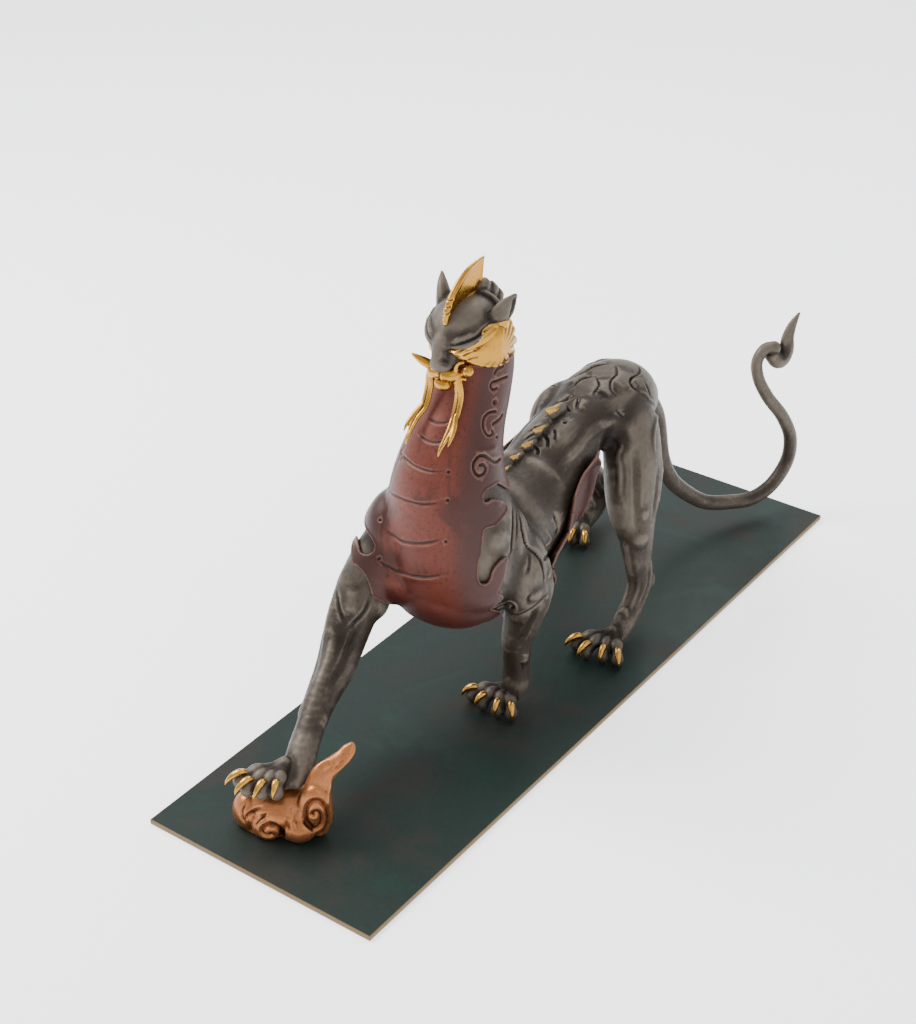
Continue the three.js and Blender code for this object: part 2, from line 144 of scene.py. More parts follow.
class Finish:
    """A metal finish built up from masks: each coat is a colour laid over the last one."""

    def __init__(self, name, base, patch_size, speckle_size, metallic, roughness, gloss=0.2):
        self.material = bpy.data.materials.new(name)
        self.material.use_nodes = True
        self.tree = self.material.node_tree
        self.shader = self.tree.nodes["Principled BSDF"]
        self.shader.inputs["Metallic"].default_value = metallic
        self.shader.inputs["Roughness"].default_value = roughness
        self.shader.inputs["Specular IOR Level"].default_value = gloss
        self.clouds = self.tree.nodes.new("ShaderNodeGroup")
        self.clouds.node_tree = patina
        self.clouds.inputs["Patch size"].default_value = patch_size
        self.clouds.inputs["Speckle size"].default_value = speckle_size
        self.colour = base

    def carved(self, name):
        """The value that the modelling has left on the surface under this name."""
        node = self.tree.nodes.new("ShaderNodeAttribute")
        node.attribute_name = name
        return node.outputs["Fac"]

    def between(self, value, low, high, to_low=0.0, to_high=1.0):
        """A mask that goes from to_low to to_high as the value goes from low to high."""
        node = self.tree.nodes.new("ShaderNodeMapRange")
        node.interpolation_type = "SMOOTHSTEP"
        numbers = {"From Min": low, "From Max": high, "To Min": to_low, "To Max": to_high}
        for socket, number in numbers.items():
            node.inputs[socket].default_value = number
        self.tree.links.new(value, node.inputs["Value"])
        return node.outputs["Result"]

    def added(self, first, second):
        """The sum of two values that change over the surface."""
        node = self.tree.nodes.new("ShaderNodeMath")
        node.operation = "ADD"
        self.tree.links.new(first, node.inputs[0])
        self.tree.links.new(second, node.inputs[1])
        return node.outputs[0]

    def coat(self, colour, mask, strength):
        """Lays a colour over the last one where the mask is high."""
        weaker = self.tree.nodes.new("ShaderNodeMath")
        weaker.operation = "MULTIPLY"
        weaker.inputs[1].default_value = strength
        self.tree.links.new(mask, weaker.inputs[0])
        node = self.tree.nodes.new("ShaderNodeMix")
        node.data_type = "RGBA"
        self.tree.links.new(weaker.outputs[0], node.inputs["Factor"])
        if isinstance(self.colour, tuple):
            node.inputs["A"].default_value = (*self.colour, 1)
        else:
            self.tree.links.new(self.colour, node.inputs["A"])
        node.inputs["B"].default_value = (*colour, 1)
        self.colour = node.outputs["Result"]

    def surface(self, roughness=None, metallic=None, grain=0.3, depth=0.00008):
        """Joins the colour, the roughness and a fine cast grain to the shader."""
        self.tree.links.new(self.colour, self.shader.inputs["Base Color"])
        if roughness is not None:
            self.tree.links.new(roughness, self.shader.inputs["Roughness"])
        if metallic is not None:
            self.tree.links.new(metallic, self.shader.inputs["Metallic"])
        bump = self.tree.nodes.new("ShaderNodeBump")
        bump.inputs["Strength"].default_value = grain
        bump.inputs["Distance"].default_value = depth
        self.tree.links.new(self.clouds.outputs["Speckle"], bump.inputs["Height"])
        self.tree.links.new(bump.outputs["Normal"], self.shader.inputs["Normal"])
        return self.material


def plate_finish():
    """Cloudy dark green with brown patches, flecked, and bare brass along the rubbed edge."""
    green = Finish("green_patina", PLATE_GREEN, 14, 420, 0.2, 0.5, 0.3)
    patches, speckle = green.clouds.outputs["Patches"], green.clouds.outputs["Speckle"]
    green.coat(PLATE_BROWN, green.between(patches, 0.47, 0.62), 0.8)
    green.coat(PLATE_SEA_GREEN, green.between(patches, 0.48, 0.30), 0.7)
    green.coat(PLATE_FLECK, green.between(speckle, 0.56, 0.78), 0.5)
    green.coat(PLATE_PIT, green.between(speckle, 0.44, 0.28), 0.6)
    green.coat(PLATE_BRASS, green.between(green.carved("edge"), 0.5, 1.0), 0.75)
    return green.surface(green.between(patches, 0.3, 0.7, 0.42, 0.58), grain=0.25)


bpy.ops.mesh.primitive_cube_add(size=1, location=(0, 0, PLATE_SIZE[2] / 2))
plate = bpy.context.object
plate.name = "green_plate"
plate.scale = PLATE_SIZE
bpy.ops.object.transform_apply(location=True, scale=True)
bevel = plate.modifiers.new("rubbed_edge", "BEVEL")
bevel.width = PLATE_BEVEL
bevel.segments = 3
bpy.ops.object.modifier_apply(modifier=bevel.name)
bpy.ops.object.mode_set(mode="EDIT")
bpy.ops.mesh.select_all(action="SELECT")
bpy.ops.mesh.bisect(plane_co=(0, 0, PLATE_SIZE[2] / 2), plane_no=(0, 0, 1))
for axis, half in ((0, PLATE_SIZE[0] / 2), (1, PLATE_SIZE[1] / 2)):
    for place in (-half + EDGE_CUT, half - EDGE_CUT):
        bpy.ops.mesh.select_all(action="SELECT")
        at = [place if i == axis else 0 for i in range(3)]
        bpy.ops.mesh.bisect(plane_co=at, plane_no=[int(i == axis) for i in range(3)])
bpy.ops.object.mode_set(mode="OBJECT")
bpy.ops.object.shade_smooth_by_angle(angle=math.radians(40))


def leave(piece, name, values):
    """Leaves a value on each vertex, for a finish to read."""
    layer = piece.data.attributes.get(name) or piece.data.attributes.new(name, "FLOAT", "POINT")
    layer.data.foreach_set("value", np.asarray(values, np.float32))


def points_of(piece):
    """The vertices of a mesh as an array, in millimetres."""
    co = np.empty(len(piece.data.vertices) * 3, np.float32)
    piece.data.vertices.foreach_get("co", co)
    return co.reshape(-1, 3).astype(float) / MM


corner = np.abs(points_of(plate)) * MM
past_edge = np.maximum(corner[:, 0] - PLATE_SIZE[0] / 2, corner[:, 1] - PLATE_SIZE[1] / 2)
leave(plate, "edge", past_edge > -RUBBED_EDGE)
plate.data.materials.append(plate_finish())
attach(plate, "root")
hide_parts("base_plate")

# The beast is one dark bronze casting: trunk, neck, head, legs, paws and tail. It was modelled in clay
# from long tapering masses, then carved, so it is made that way here: tubes and balls are fused into
# one skin, and the muscles, creases and scutes are pressed into it. All its places are millimetres.
PAW_FLOOR = 3.3
TRUNK = [
    # place x, y, z and half width, half depth
    (0, -62, 103, 30, 28), (0, -42, 106, 35, 35), (0, -14, 107, 31, 33), (0, 12, 114, 26, 32),
    (0, 30, 128, 22, 24), (0, 46, 135, 21, 19), (0, 74, 139, 25, 21), (0, 98, 135, 24, 22),
    (0, 115, 126, 16.5, 17.5),
]
NECK = [
    (0, -63, 88, 30, 27), (0, -66, 104, 38, 34), (0, -70, 124, 39, 34), (0, -73, 142, 35.5, 31),
    (0, -74, 160, 30, 28), (0, -70, 176, 25.5, 25), (0, -61, 193, 20.5, 20.5), (0, -54, 208, 19, 19),
    (0, -50, 224, 18, 18.5), (0, -50, 236, 16, 16),
]
FORE_LEFT = [
    (19, -52, 127, 10, 13), (29, -54, 114, 13, 18), (33.5, -49, 93, 14, 17.5), (30, -43, 74, 12, 13.5),
    (27, -42, 60, 10.8, 12), (25, -44, 47, 9, 9.5), (26, -45, 30, 7.8, 8.0), (26, -47, 18, 8.4, 7.4),
    (25, -50, 11, 7.5, 4.5),
]
FORE_RIGHT = [
    (-24, -78, 130, 12, 16), (-32, -96, 110, 14, 16), (-36, -109, 90, 14, 14.5),
    (-36, -123, 70, 12.5, 13.5), (-31, -138, 60, 11, 11.8), (-25.5, -159, 51, 9, 9),
    (-20, -174, 45, 8.2, 8), (-15, -186, 41, 8.6, 8), (-11.5, -195, 36, 8.8, 7), (-11, -202, 32, 8, 5),
]
HIND_LEFT = [
    (14, 84, 144, 9, 15), (20, 80, 130, 14, 22), (27, 72, 112, 15.5, 23), (33, 64, 88, 14, 19),
    (37, 63, 70, 11, 13), (39, 63, 55, 8.8, 10.5), (41, 64, 34, 7.5, 8.5), (42.5, 52, 21, 7.2, 7.4),
    (43.5, 41, 15, 7.4, 6.4), (43, 34, 11, 7.2, 4.2),
]
HIND_RIGHT = [
    (-14, 84, 144, 9, 15), (-20, 85, 130, 14, 24), (-28, 88, 112, 15, 23), (-33, 98, 86, 12.5, 17),
    (-37, 117, 64, 9.5, 11), (-40, 139, 44, 7.5, 8.5), (-41.5, 151, 28, 7.5, 8.5),
    (-42, 145, 18, 7.2, 7.4), (-42, 136, 14, 7.4, 6.4), (-42, 129, 11, 7.2, 4.2),
]
BREAST = [
    # middle x, y, z and half sizes
    (-3, -76, 94, 35, 24, 23), (-27, -84, 122, 17, 20, 25), (-20, -91, 101, 14, 15, 16),
    (3, -77, 104, 34, 22.5, 22),
]
MUSCLES = [
    # the left shoulder and elbow, the right armpit and upper arm
    (25, -62, 121, 15, 19, 25), (33, -31, 80, 6, 6, 8),
    (-28, -106, 87, 8, 10, 12), (-40, -111, 92, 9, 9, 15),
    # the right haunch and thigh, the paw on the cloud and both heels
    (-21, 64, 132, 13, 26, 18), (-27, 102, 86, 10.5, 15.5, 19), (-15, -203, 33.5, 8.5, 8, 6),
    (41, 71, 32, 6.5, 7, 8), (-41, 158, 32, 6.5, 6, 8),
]
HEAD = [
    (0, -44, 236, 16, 15), (0, -54, 244, 19.5, 17), (0, -66, 245, 17, 14.5), (0, -76, 238, 9.5, 10),
    (0, -82, 231, 6, 5.5),
]
TAIL_SIDE = (0.894, -0.447, 0)
TAIL = [
    # place and half width, as it is round
    (0, 124, 124, 8), (2, 139, 104, 6.5), (4.5, 147.5, 68, 5.8), (8, 156, 50, 5.4), (14, 168, 36, 5.2),
    (21, 182, 25, 5), (30, 199, 20, 4.9), (37.4, 214, 18, 4.8), (44, 228, 24, 4.7), (49, 238, 40, 4.6),
    (49.4, 238.5, 57, 4.5), (46, 231, 75, 4.3), (39.5, 218.5, 94, 4.1), (35.5, 211, 110, 3.9),
    (34.7, 209.5, 122, 3.8), (37, 214, 129, 3.8), (40.5, 221, 128, 4.6),
]
TUFT = [
    (39.5, 219, 124, 5, 5), (42.5, 225, 119, 5.5, 6.5), (44.5, 229, 124, 4.5, 5.5),
    (44.7, 229.4, 133, 3.5, 4.4), (46, 232, 142, 2.4, 3), (48, 236, 149, 0.8, 1),
]


def way(points, every):
    """Points about every so many millimetres along a smooth curve through the given ones."""
    points = np.asarray(points, float)
    ends = np.vstack([2 * points[0] - points[1], points, 2 * points[-1] - points[-2]])
    gaps = np.maximum(np.linalg.norm(np.diff(ends[:, :3], axis=0), axis=1), 1e-6)
    knots = np.sqrt(gaps)
    made = []
    for i in range(len(points) - 1):
        before, here, after = knots[i], knots[i + 1], knots[i + 2]
        a, b, c, d = ends[i : i + 4]
        leave_b = ((b - a) / before - (c - a) / (before + here) + (c - b) / here) * here
        reach_c = ((c - b) / here - (d - b) / (here + after) + (d - c) / after) * here
        steps = max(1, round(gaps[i + 1] / every))
        t = np.linspace(0, 1, steps, endpoint=False)[:, None]
        made.append(
            b + leave_b * t + (3 * (c - b) - 2 * leave_b - reach_c) * t**2
            + (2 * (b - c) + leave_b + reach_c) * t**3
        )
    return np.vstack([*made, points[-1:]])


def mesh_piece(name, points, faces):
    """A mesh object from points in millimetres."""
    mesh = bpy.data.meshes.new(name)
    mesh.from_pydata((np.asarray(points) * MM).tolist(), [], faces)
    mesh.update()
    piece = bpy.data.objects.new(name, mesh)
    bpy.context.collection.objects.link(piece)
    return piece


# Angles up a limb's domed end, and the dome's height against the limb's half width
DOME_ANGLES = (70, 45, 20)
DOME_HEIGHT = 0.75


def limb(stations, sides, every, side=(1, 0, 0), blunt=(False, False), grow=0.0):
    """A tube of oval rings through stations of place, half width and half depth, with so many sides
    and a ring every so many millimetres. Its ends are domed, unless blunt says that they lie hidden
    in another form. The half width is measured along side, and grow makes it all so much thicker."""
    stations = [(*s, s[3]) if len(s) == 4 else s for s in stations]
    rings = way(stations, every)
    middle, girth = rings[:, :3], rings[:, 3:] + grow
    along = np.gradient(middle, axis=0)
    along /= np.linalg.norm(along, axis=1)[:, None]
    across = np.array(side) - (along @ np.array(side))[:, None] * along
    across /= np.linalg.norm(across, axis=1)[:, None]
    up = np.cross(along, across)
    turn = np.linspace(0, 2 * math.pi, sides, endpoint=False)

    def ring(i, shrink=1.0, push=0.0):
        centre = middle[i] + along[i] * push * girth[i].min()
        wide = np.outer(np.cos(turn), across[i]) * girth[i, 0]
        deep = np.outer(np.sin(turn), up[i]) * girth[i, 1]
        return centre + (wide + deep) * shrink

    dome = [(math.cos(math.radians(a)), DOME_HEIGHT * math.sin(math.radians(a))) for a in DOME_ANGLES]
    first = [] if blunt[0] else [ring(0, shrink, -push) for shrink, push in dome]
    last = [] if blunt[1] else [ring(-1, shrink, push) for shrink, push in reversed(dome)]
    loops = first + [ring(i) for i in range(len(middle))] + last
    start = ring(0, 0, 0 if blunt[0] else -DOME_HEIGHT)[:1]
    end = ring(-1, 0, 0 if blunt[1] else DOME_HEIGHT)[:1]
    points = np.vstack([*loops, start, end])
    faces = []
    for i in range(sides):
        j = (i + 1) % sides
        faces.append((len(points) - 2, j, i))
        for r in range(len(loops) - 1):
            low, high = r * sides, (r + 1) * sides
            faces.append((low + i, low + j, high + j, high + i))
        last_ring = (len(loops) - 1) * sides
        faces.append((len(points) - 1, last_ring + i, last_ring + j))
    return mesh_piece("limb", points, faces)


def ball(sizes, turn=(0, 0, 0), grow=0.0):
    """A ball stretched to three half sizes and turned about X, Y and Z in degrees."""
    place, half = np.array(sizes[:3]) * MM, (np.array(sizes[3:]) + grow) * MM
    bpy.ops.object.select_all(action="DESELECT")
    bpy.ops.mesh.primitive_uv_sphere_add(segments=32, ring_count=16, radius=1, location=place)
    piece = bpy.context.object
    piece.scale = half
    piece.rotation_euler = [math.radians(a) for a in turn]
    bpy.ops.object.transform_apply(location=True, rotation=True, scale=True)
    return piece


def only(pieces, active):
    """Selects these pieces and nothing else."""
    bpy.ops.object.select_all(action="DESELECT")
    for piece in pieces:
        piece.select_set(True)
    bpy.context.view_layer.objects.active = active


def apply(piece, kind, **settings):
    """Gives a piece a modifier with these settings, and applies it."""
    only([piece], piece)
    modifier = piece.modifiers.new(kind.lower(), kind)
    for name, value in settings.items():
        setattr(modifier, name, value)
    bpy.ops.object.modifier_apply(modifier=modifier.name)


def fuse(name, pieces, voxel, smoothing):
    """Joins overlapping forms into one skin of small squares, and rounds where they meet."""
    only(pieces, pieces[0])
    bpy.ops.object.join()
    piece = bpy.context.object
    piece.name = name
    apply(piece, "REMESH", mode="VOXEL", voxel_size=voxel * MM, use_smooth_shade=True)
    if smoothing:
        apply(piece, "SMOOTH", factor=0.5, iterations=smoothing)
    return piece


def torso(grow=0.0):
    """Trunk, neck and breast, which the breast shell is fitted over."""
    forms = [limb(TRUNK, 48, 4, blunt=(True, False), grow=grow), limb(NECK, 48, 4, grow=grow)]
    return forms + [ball(sizes, grow=grow) for sizes in BREAST]


MASS_VOXEL = 1.9
MASS_SMOOTHING = 9


def body_forms(grow=0.0):
    """The torso with its legs and muscles, as tubes and balls."""
    fore = [limb(leg, 28, 3, blunt=(True, False), grow=grow) for leg in (FORE_LEFT, FORE_RIGHT)]
    hind = [limb(leg, 28, 3, grow=grow) for leg in (HIND_LEFT, HIND_RIGHT)]
    return torso(grow) + fore + hind + [ball(sizes, grow=grow) for sizes in MUSCLES]


beast = fuse("masses", body_forms(), MASS_VOXEL, MASS_SMOOTHING)

# Each paw has four arched toes fanned out, a round pad under each tip and a claw curving over it.
PAD = 4.4
TENDON = (2.2, 2.4, 2.6)
TENDON_BACK = 4
PAWS = [
    # ankle's place over the plate or the cloud, the toes' angles and reaches, where the tendons start
    ((21, -47, PAW_FLOOR), ((-54, 21.5), (-26, 17.5), (13, 16.5), (42, 18.5)), (26, -47, 27)),
    ((42, 35, PAW_FLOOR), ((-44, 24.5), (-19, 22.5), (11, 18.5), (39, 21)), (43, 45, 25)),
    ((-43, 132, PAW_FLOOR), ((-44, 24.5), (-19, 22.5), (11, 18.5), (37, 19)), (-42, 142, 25)),
    ((-16, -199, 28.5), ((-38, 26.5), (-20, 25), (-1, 20.5), (21, 17)), (-16, -184, 46)),
]
TOE = [
    # share of the reach, height in pads, half width, half depth
    (0.0, 2.8, 3.4, 3.3), (0.24, 2.3, 3.1, 3.0), (0.42, 2.2, 3.4, 3.2), (0.6, 2.25, 4.1, 3.8),
    (0.76, 1.75, 3.4, 3.3), (0.9, 1.35, 3.5, 3.4),
]
CLAW = [
    # the same for the claw
    (0.78, 2.2, 1.6, 1.5), (0.9, 2.45, 2.0, 1.9), (1.02, 2.3, 1.9, 1.8), (1.13, 1.85, 1.5, 1.4),
    (1.2, 1.35, 0.9, 0.9), (1.23, 1.0, 0.3, 0.3),
]


def toe_places(stations, foot, reach, degrees):
    """Stations along one toe, turned to its angle on the plate."""
    x, y, z = foot
    out = (math.sin(math.radians(degrees)), -math.cos(math.radians(degrees)))
    placed = []
    for far, high, wide, deep in stations:
        placed.append((x + out[0] * far * reach, y + out[1] * far * reach, z + high * PAD, wide, deep))
    return placed, (-out[1], out[0], 0)


fine = [beast, limb(TAIL, 20, 2, TAIL_SIDE), limb(TUFT, 20, 1.5, TAIL_SIDE)]
claws = []
for foot, fan, ankle in PAWS:
    for degrees, reach in fan:
        toe, side = toe_places(TOE, foot, reach, degrees)
        fine.append(limb(toe, 16, 1.2, side))
        pad_at, _ = toe_places([(0.93, 1.0, PAD * 0.9, PAD)], foot, reach, degrees)
        x, y, z, wide, tall = pad_at[0]
        fine.append(ball((x, y, z, wide, wide, tall)))
        over = (np.array(ankle) + toe[0][:3]) / 2 - np.array((side[1], -side[0], 0)) * TENDON_BACK
        run = zip((ankle, over, toe[1][:3]), TENDON)
        fine.append(limb([(*place, thick) for place, thick in run], 12, 1.5))
        claw, side = toe_places(CLAW, foot, reach, degrees)
        claws.append(limb(claw, 20, 0.6, side))

# The skull has heavy brows that run back to the ears, a long narrow nose, a lock of hair in three
# curls down its back, and a collar of hair from ear to ear.
BROW = [(2, -80, 241.5, 3.4), (7.5, -77.5, 243.2, 4.2), (12.5, -71, 245, 4.8), (14.5, -61, 247.5, 6)]
NOSE = [
    (0, -70, 251, 8, 5.5), (0, -79, 245.5, 6, 4.2), (0, -83, 239, 4.6, 3.6), (0, -84.6, 234, 4.2, 3.5),
]
NOSTRIL = (2.4, -85.2, 232.4, 2.3, 2.4, 2.0)
EAR = [
    (14.5, -57, 246, 7, 5), (17.5, -54.5, 252.5, 7.2, 4.4), (20.3, -52, 258.5, 6, 3.2),
    (22.4, -49.8, 262.5, 3.6, 1.9), (23.3, -48.8, 265, 1.4, 0.8),
]
EAR_HOLLOW = [(20.5, -51, 251), (22.3, -50.2, 256), (23.2, -49.4, 261)]
LOCK = [
    (0, -50, 257, 3, 4), (1, -45, 262.5, 3.4, 4.4), (1.4, -42.6, 257, 2, 3),
    (1.8, -39.6, 258.8, 3.6, 4.6), (1.8, -37.8, 252.4, 2, 3), (1.6, -35, 253.2, 3.8, 4.8),
    (1.4, -34.4, 246, 2.2, 3.4), (1, -34, 243, 3, 4),
]
COLLAR_OF_HAIR = [
    (-17, -47, 250, 1.6), (-14.5, -49, 255.5, 1.7), (-8, -49, 259.5, 1.8), (0, -50, 261, 2),
    (8, -49, 259.5, 1.8), (14.5, -49, 255.5, 1.7), (17, -47, 250, 1.6),
]
SKULL_VOXEL = 1.0


def mirrored(stations):
    """The same places on the beast's other side."""
    return [(-x, *rest) for x, *rest in stations]


skull = [limb(HEAD, 32, 2), limb(NOSE, 24, 1.5)]
for turned in (list, mirrored):
    skull += [limb(turned(BROW), 24, 1.5), ball(turned([NOSTRIL])[0])]
fine += [fuse("skull", skull, SKULL_VOXEL, 9), limb(LOCK, 20, 1.5)]
fine += [limb(COLLAR_OF_HAIR, 12, 1.5, side=(0, 1, 0))]
for hand, turned in ((1, list), (-1, mirrored)):
    fine.append(limb(turned(EAR), 20, 1.5, side=(hand * 0.5, 0.86, 0)))

# Five scutes like flames stand in a row on the spine and lean towards the neck.
FLAMES = [
    # y, z and size
    (-20, 138.5, 0.9), (-9, 141.2, 1.0), (3, 143.2, 1.1), (15, 147.4, 1.2), (29, 154, 1.45),
]
for y, z, size in FLAMES:
    blade = [
        (0, y + 9 * size, z - 3.5, 1.4, 1.6),
        (0, y + 4 * size, z - 0.8, 1.8 * size, 3.2 * size),
        (0, y - 1.5 * size, z + 0.6 * size, 1.5 * size, 3.0 * size),
        (0, y - 5 * size, z + 2.6 * size, 1.0 * size, 2.0 * size),
        (0, y - 8 * size, z + 4.8 * size, 0.5, 0.8),
    ]
    fine.append(limb(blade, 16, 1.0))
SKIN_VOXEL = 0.7
beast = fuse("beast_bronze", fine, SKIN_VOXEL, 3)
LINE_STEP = 0.7


def through(pixel):
    """The direction of the ray that runs through a pixel of the photo."""
    right = (pixel[0] - PHOTO_MIDDLE[0]) / FOCAL_PIXELS
    down = (pixel[1] - PHOTO_MIDDLE[1]) / FOCAL_PIXELS
    return (camera.matrix_world.to_3x3() @ Vector((right, -down, -1))).normalized()


class Relief:
    """Carving: the surface is pushed out or in along its normals, by millimetres, beside
    lines and points that lie on it. A line is given by places or by pixels of the photo."""

    def __init__(self, piece):
        self.piece = piece
        self.take()

    def take(self):
        """Measures the surface as it is now."""
        self.at = points_of(self.piece)
        out = np.empty(len(self.at) * 3, np.float32)
        self.piece.data.vertices.foreach_get("normal", out)
        self.out = out.reshape(-1, 3).astype(float)
        self.push = np.zeros(len(self.at))
        self.tree = BVHTree.FromObject(self.piece, bpy.context.evaluated_depsgraph_get())

    def seen(self, pixels):
        """The places on the surface that show at these pixels of the photo."""
        hits = [self.tree.ray_cast(CAMERA_AT, through(p))[0] for p in pixels]
        return [tuple(hit / MM) for hit in hits if hit is not None]

    def on_skin(self, places):
        """The places moved to the nearest point of the surface."""
        return np.array([self.tree.find_nearest(Vector(p) * MM)[0] for p in places]) / MM

    def near(self, samples, reach):
        """Which vertices lie within reach of the samples, how far off, and nearest to which one."""
        low, high = samples.min(0) - reach, samples.max(0) + reach
        index = np.nonzero(((self.at > low) & (self.at < high)).all(1))[0]
        far = np.linalg.norm(self.at[index, None, :] - samples[None], axis=2)
        near = far.min(1) < reach
        return index[near], far[near].min(1), far[near].argmin(1)

    def line(self, places, width, height, mirror=False, fade=True):
        """A rounded ridge, or a groove where height is below zero, that thins out at its ends."""
        for turned in (list, mirrored) if mirror else (list,):
            samples = self.on_skin(way(turned(places), LINE_STEP))
            index, far, nearest = self.near(samples, width)
            along = nearest / max(1, len(samples) - 1)
            taper = np.clip(np.minimum(along, 1 - along) * 4, 0.1, 1) if fade else 1
            self.push[index] += height * taper * np.clip(1 - (far / width) ** 2, 0, 1) ** 2

    def swell(self, place, radius, height, mirror=False):
        """A low round boss, or a hollow where height is below zero."""
        for turned in (list, mirrored) if mirror else (list,):
            index, far, _ = self.near(self.on_skin(turned([place])), radius)
            self.push[index] += height * np.clip(1 - (far / radius) ** 2, 0, 1) ** 2

    def step(self, places, width, height, mirror=False):
        """The raised edge of a plate: the skin on the line's left stands up and slopes back."""
        for turned, hand in ((list, 1), (mirrored, -1)) if mirror else ((list, 1),):
            samples = self.on_skin(way(turned(places), LINE_STEP))
            index, far, nearest = self.near(samples, width)
            across = np.cross(self.out[index], np.gradient(samples, axis=0)[nearest]) * hand
            left = ((self.at[index] - samples[nearest]) * across).sum(1) > 0
            along = nearest / max(1, len(samples) - 1)
            taper = np.clip(np.minimum(along, 1 - along) * 4, 0, 1)
            raised, sunk = height * (1 - far / width), -0.6 * height * np.clip(1 - far / 1.6, 0, 1)
            self.push[index] += taper * np.where(left, raised, sunk)

    def press(self):
        """Moves the surface by what has been pushed, and takes its new normals."""
        co = (self.at + self.out * self.push[:, None]) * MM
        self.piece.data.vertices.foreach_set("co", co.astype(np.float32).ravel())
        self.piece.data.update()
        self.take()


# Creases and ridges that show in the photo: pixels along each, its width and its height in
# millimetres, below zero for a groove. The body's are cut on both flanks, the others where they are.
# The first three are on the face, the next seven on flank and thigh, and the rest are the scutes
# over rump and back.
BODY_LINES = [
    ([(448, 346), (456.6, 344.4), (467.3, 341.2), (478, 336), (485.7, 328.5), (494.9, 321.5)], 1.7, -1.5),
    ([(450, 343), (458, 340.5), (467, 337), (476, 332)], 2.6, 0.7),
    ([(450, 347), (449.5, 354), (447, 361), (443, 367)], 5, -1.3),
    ([(557, 475), (569, 459), (580, 446), (592, 432), (602, 425), (613, 423), (622, 425)], 4.5, 1.3),
    ([(553, 515), (557, 521), (558, 529), (555, 534)], 2.2, -2.0),
    ([(546, 531), (550, 540), (547, 553)], 2.2, 0.7),
    ([(616, 411), (624, 418)], 1.2, -0.5),
    ([(617, 436), (621, 446), (618, 455), (620, 472), (620, 500)], 2.6, 0.9),
    ([(655, 407), (655.5, 425), (654, 440), (656, 460)], 2.4, 0.8),
    ([(637, 390), (645, 394), (650, 400), (655, 407)], 1.8, 0.9),
    ([(591, 369), (596, 377), (600, 385), (598, 389), (594.5, 392), (593, 397)], 1.2, -0.8),
    ([(616.5, 359), (617.5, 375), (614, 378), (610.5, 383), (611, 391), (615, 395)], 1.2, -0.8),
    ([(641, 376), (632, 378.5), (630.5, 383), (634, 388), (638, 390.5)], 1.6, -1.3),
    ([(644, 382), (648, 388), (650, 395)], 1.5, -1.1),
    ([(578, 392), (580, 398), (578, 404), (577.5, 410)], 1.7, -1.4),
    ([(567, 404), (569.5, 412)], 1.7, -1.4),
    ([(564, 421), (566, 423)], 1.9, -1.5),
    ([(554, 429), (556, 434), (555, 441)], 1.6, -1.2),
    ([(543.6, 433), (547.6, 440), (547.6, 449)], 1.7, -1.5),
    ([(534, 444.5), (538, 450), (537, 455)], 1.6, -1.3),
]
BODY_STEPS = [
    ([(590, 368), (594.5, 373), (597.5, 379), (600, 385), (596, 391)], 9, 1.1),
    ([(613.5, 358), (616.5, 366), (617.5, 375), (612.5, 380), (610, 388)], 10, 1.1),
    ([(639.5, 367), (640, 374), (632, 379), (630.5, 386)], 9, 1.1),
    ([(575, 385), (579, 397), (576.5, 410)], 7, 0.8),
]
SHOULDER_LINES = [
    ([(512, 503), (513, 520), (512, 541), (511, 551), (508.5, 557)], 1.4, -1.0),
    ([(515.5, 510), (517, 525), (516, 540)], 1.3, -0.5),
    ([(529, 553), (529.5, 563), (527, 575)], 1.8, -0.5),
    ([(515.6, 613.5), (524, 612), (532, 608.5), (541, 600.5), (547, 593)], 1.8, -1.0),
    ([(490.6, 610), (496, 606), (502.8, 602.6), (509, 600.3), (515, 603.4), (517, 608.8),
      (513.6, 612.6)], 1.3, 0.8),
    ([(492, 611), (497, 608), (503, 605.4), (507, 604)], 1.8, -1.4),
    ([(509, 604), (512.5, 606), (511.5, 610)], 1.4, -1.2),
    ([(531, 594), (528, 599), (530, 604)], 1.6, -0.7),
    ([(549, 551), (543, 560), (541, 562)], 1.8, -1.3),
    ([(370, 596), (365, 611), (354, 623), (349, 630)], 2.0, -1.0),
    ([(337, 589), (340, 611), (346, 623)], 2.0, -0.8),
    ([(352, 585), (352, 600), (350, 618)], 5, 0.9),
]
SHOULDER_STEP = [(518, 511), (522, 529), (525, 542), (534, 552), (541, 561), (544, 573), (544, 585)]
FLANK_HOLLOW = ((613, 442), 13, -2.4)
BOSSES = [
    # pixel, radius and height in millimetres
    ((612, 460), 8, -1.0), ((537.5, 595), 5.5, 1.2), ((549, 575), 3.5, 0.9), ((547, 597), 3, 0.7),
    ((645, 515), 5, 0.8), ((641, 540), 7, 1.2), ((500, 540), 9, 0.6),
]
